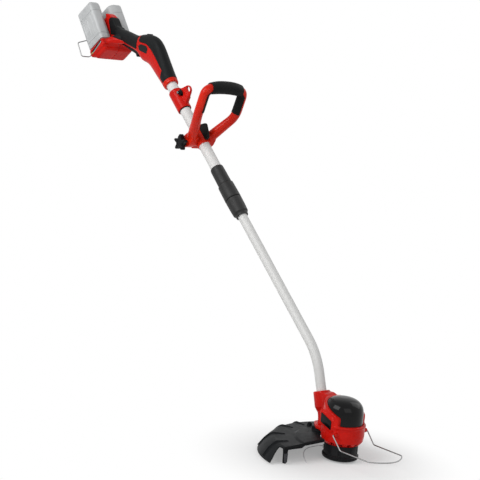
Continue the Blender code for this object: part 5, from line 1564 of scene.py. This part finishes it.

# %% [markdown]
# ## The bump spring and the eyelet
# The spring lies between the cup's roof and the reel. On the tool it gives way when the button is pressed;
# here it is coiled in three even turns and rides on the head. The eyelet is turned about a line that points
# out of the cup.

# %% Coil the spring and turn the eyelet
COIL_TURNS = 3
COIL_STEPS = 32 * COIL_TURNS
coil = [
    polar(12, 360 * COIL_TURNS * step / COIL_STEPS, 31.1 + 4.3 * step / COIL_STEPS)
    for step in range(COIL_STEPS + 1)
]
spring = dress(bar("coil_spring", coil, 0.7, ring=4), "cutting_head", BRUSHED, "bump_spring")
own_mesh(spring)
lip = Matrix.Translation((0, 0, EYELET_Z * MM)) @ Matrix.Rotation(radians(EYELET_ANGLE), 4, "Z")
lip = lip @ Matrix.Rotation(pi / 2, 4, "Y")
eyelet = [(1.3, 42), (1.8, 42.1), (3.6, 42), (4.6, 41.4), (4.6, 40.5), (3, 40.4), (3, 37), (1.3, 37)]
dress(turned("eyelet_ring", eyelet, lip, 48), "cutting_head", BRUSHED, "line_eyelet")

# %% [markdown]
# ## Pieces that stay as the CAD made them
# Two pieces lie wholly inside others: the plug at the lower tube's end and the split ring in the lock. Their
# shapes are kept, and they only get their finishes.

# %% Finish the hidden pieces
for node, finish in (("tube_bush", LOCK_GREY), ("collet", NYLON)):
    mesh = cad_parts[node].data
    mesh.materials.clear()
    mesh.materials.append(finish.material)
    print(node, finish.material.name)

# %% [markdown]
# ## Floor, light and background
# The floor is a pale plane. It shows the head's soft shadow and fades to plain white around it. Three large
# soft lamps light the tool, and the world is white for the camera and dimmer for the light.

# %% Light the stage
WHITE = (1, 1, 1, 1)
bm = bmesh.new()
bmesh.ops.create_grid(bm, x_segments=8, y_segments=8, size=6)
floor = keep(bm, "floor")
ground = Finish("pale_floor", "", roughness=0.9, base_color=(*grey(0.9), 1))
floor.data.materials.append(ground.material)
centred = ground.node("ShaderNodeMapping", {"Vector": ground.place, "Location": (0.02, 0.03, 0)})
distance = ground.node("ShaderNodeVectorMath", {0: centred}, "Value", operation="LENGTH")
fade = ground.soft_step(distance, {"From Min": 0.1, "From Max": 0.34, "To Min": 0.3, "To Max": 1})
lit = Value(ground, ground.shader.outputs[0])
plain = ground.node("ShaderNodeEmission", {"Color": WHITE, "Strength": 1})
both = ground.node("ShaderNodeMixShader", {0: ground.looking() * fade, 1: lit, 2: plain})
ground.tree.links.new(both.socket, ground.tree.nodes["Material Output"].inputs["Surface"])

FOR_LIGHT = 0.27
world = bpy.data.worlds.new("studio")
scene.world = world
world.use_nodes = True
sky = Nodes(world.node_tree)
background = sky.tree.nodes["Background"]
background.inputs["Color"].default_value = WHITE
strength = sky.looking() * (1 - FOR_LIGHT) + FOR_LIGHT
sky.tree.links.new(strength.socket, background.inputs["Strength"])


def lamp(name, place, aim, size, power):
    """A square soft lamp that looks at a point."""
    light = bpy.data.lights.new(name, "AREA")
    light.shape = "SQUARE"
    light.size = size
    light.energy = power
    obj = link(name, light)
    obj.location = place
    obj.rotation_euler = (Vector(aim) - Vector(place)).to_track_quat("-Z", "Y").to_euler()


lamp("key", (-0.6, -2.9, 2.5), (-0.45, 0, 0.5), 2.4, 86)
lamp("fill", (2.2, -0.9, 1.8), (-0.4, 0, 0.5), 2, 14)
lamp("rim", (0.2, 2.4, 2.2), (-0.4, 0, 0.5), 2, 16)
print("lamps", len(bpy.data.lights))
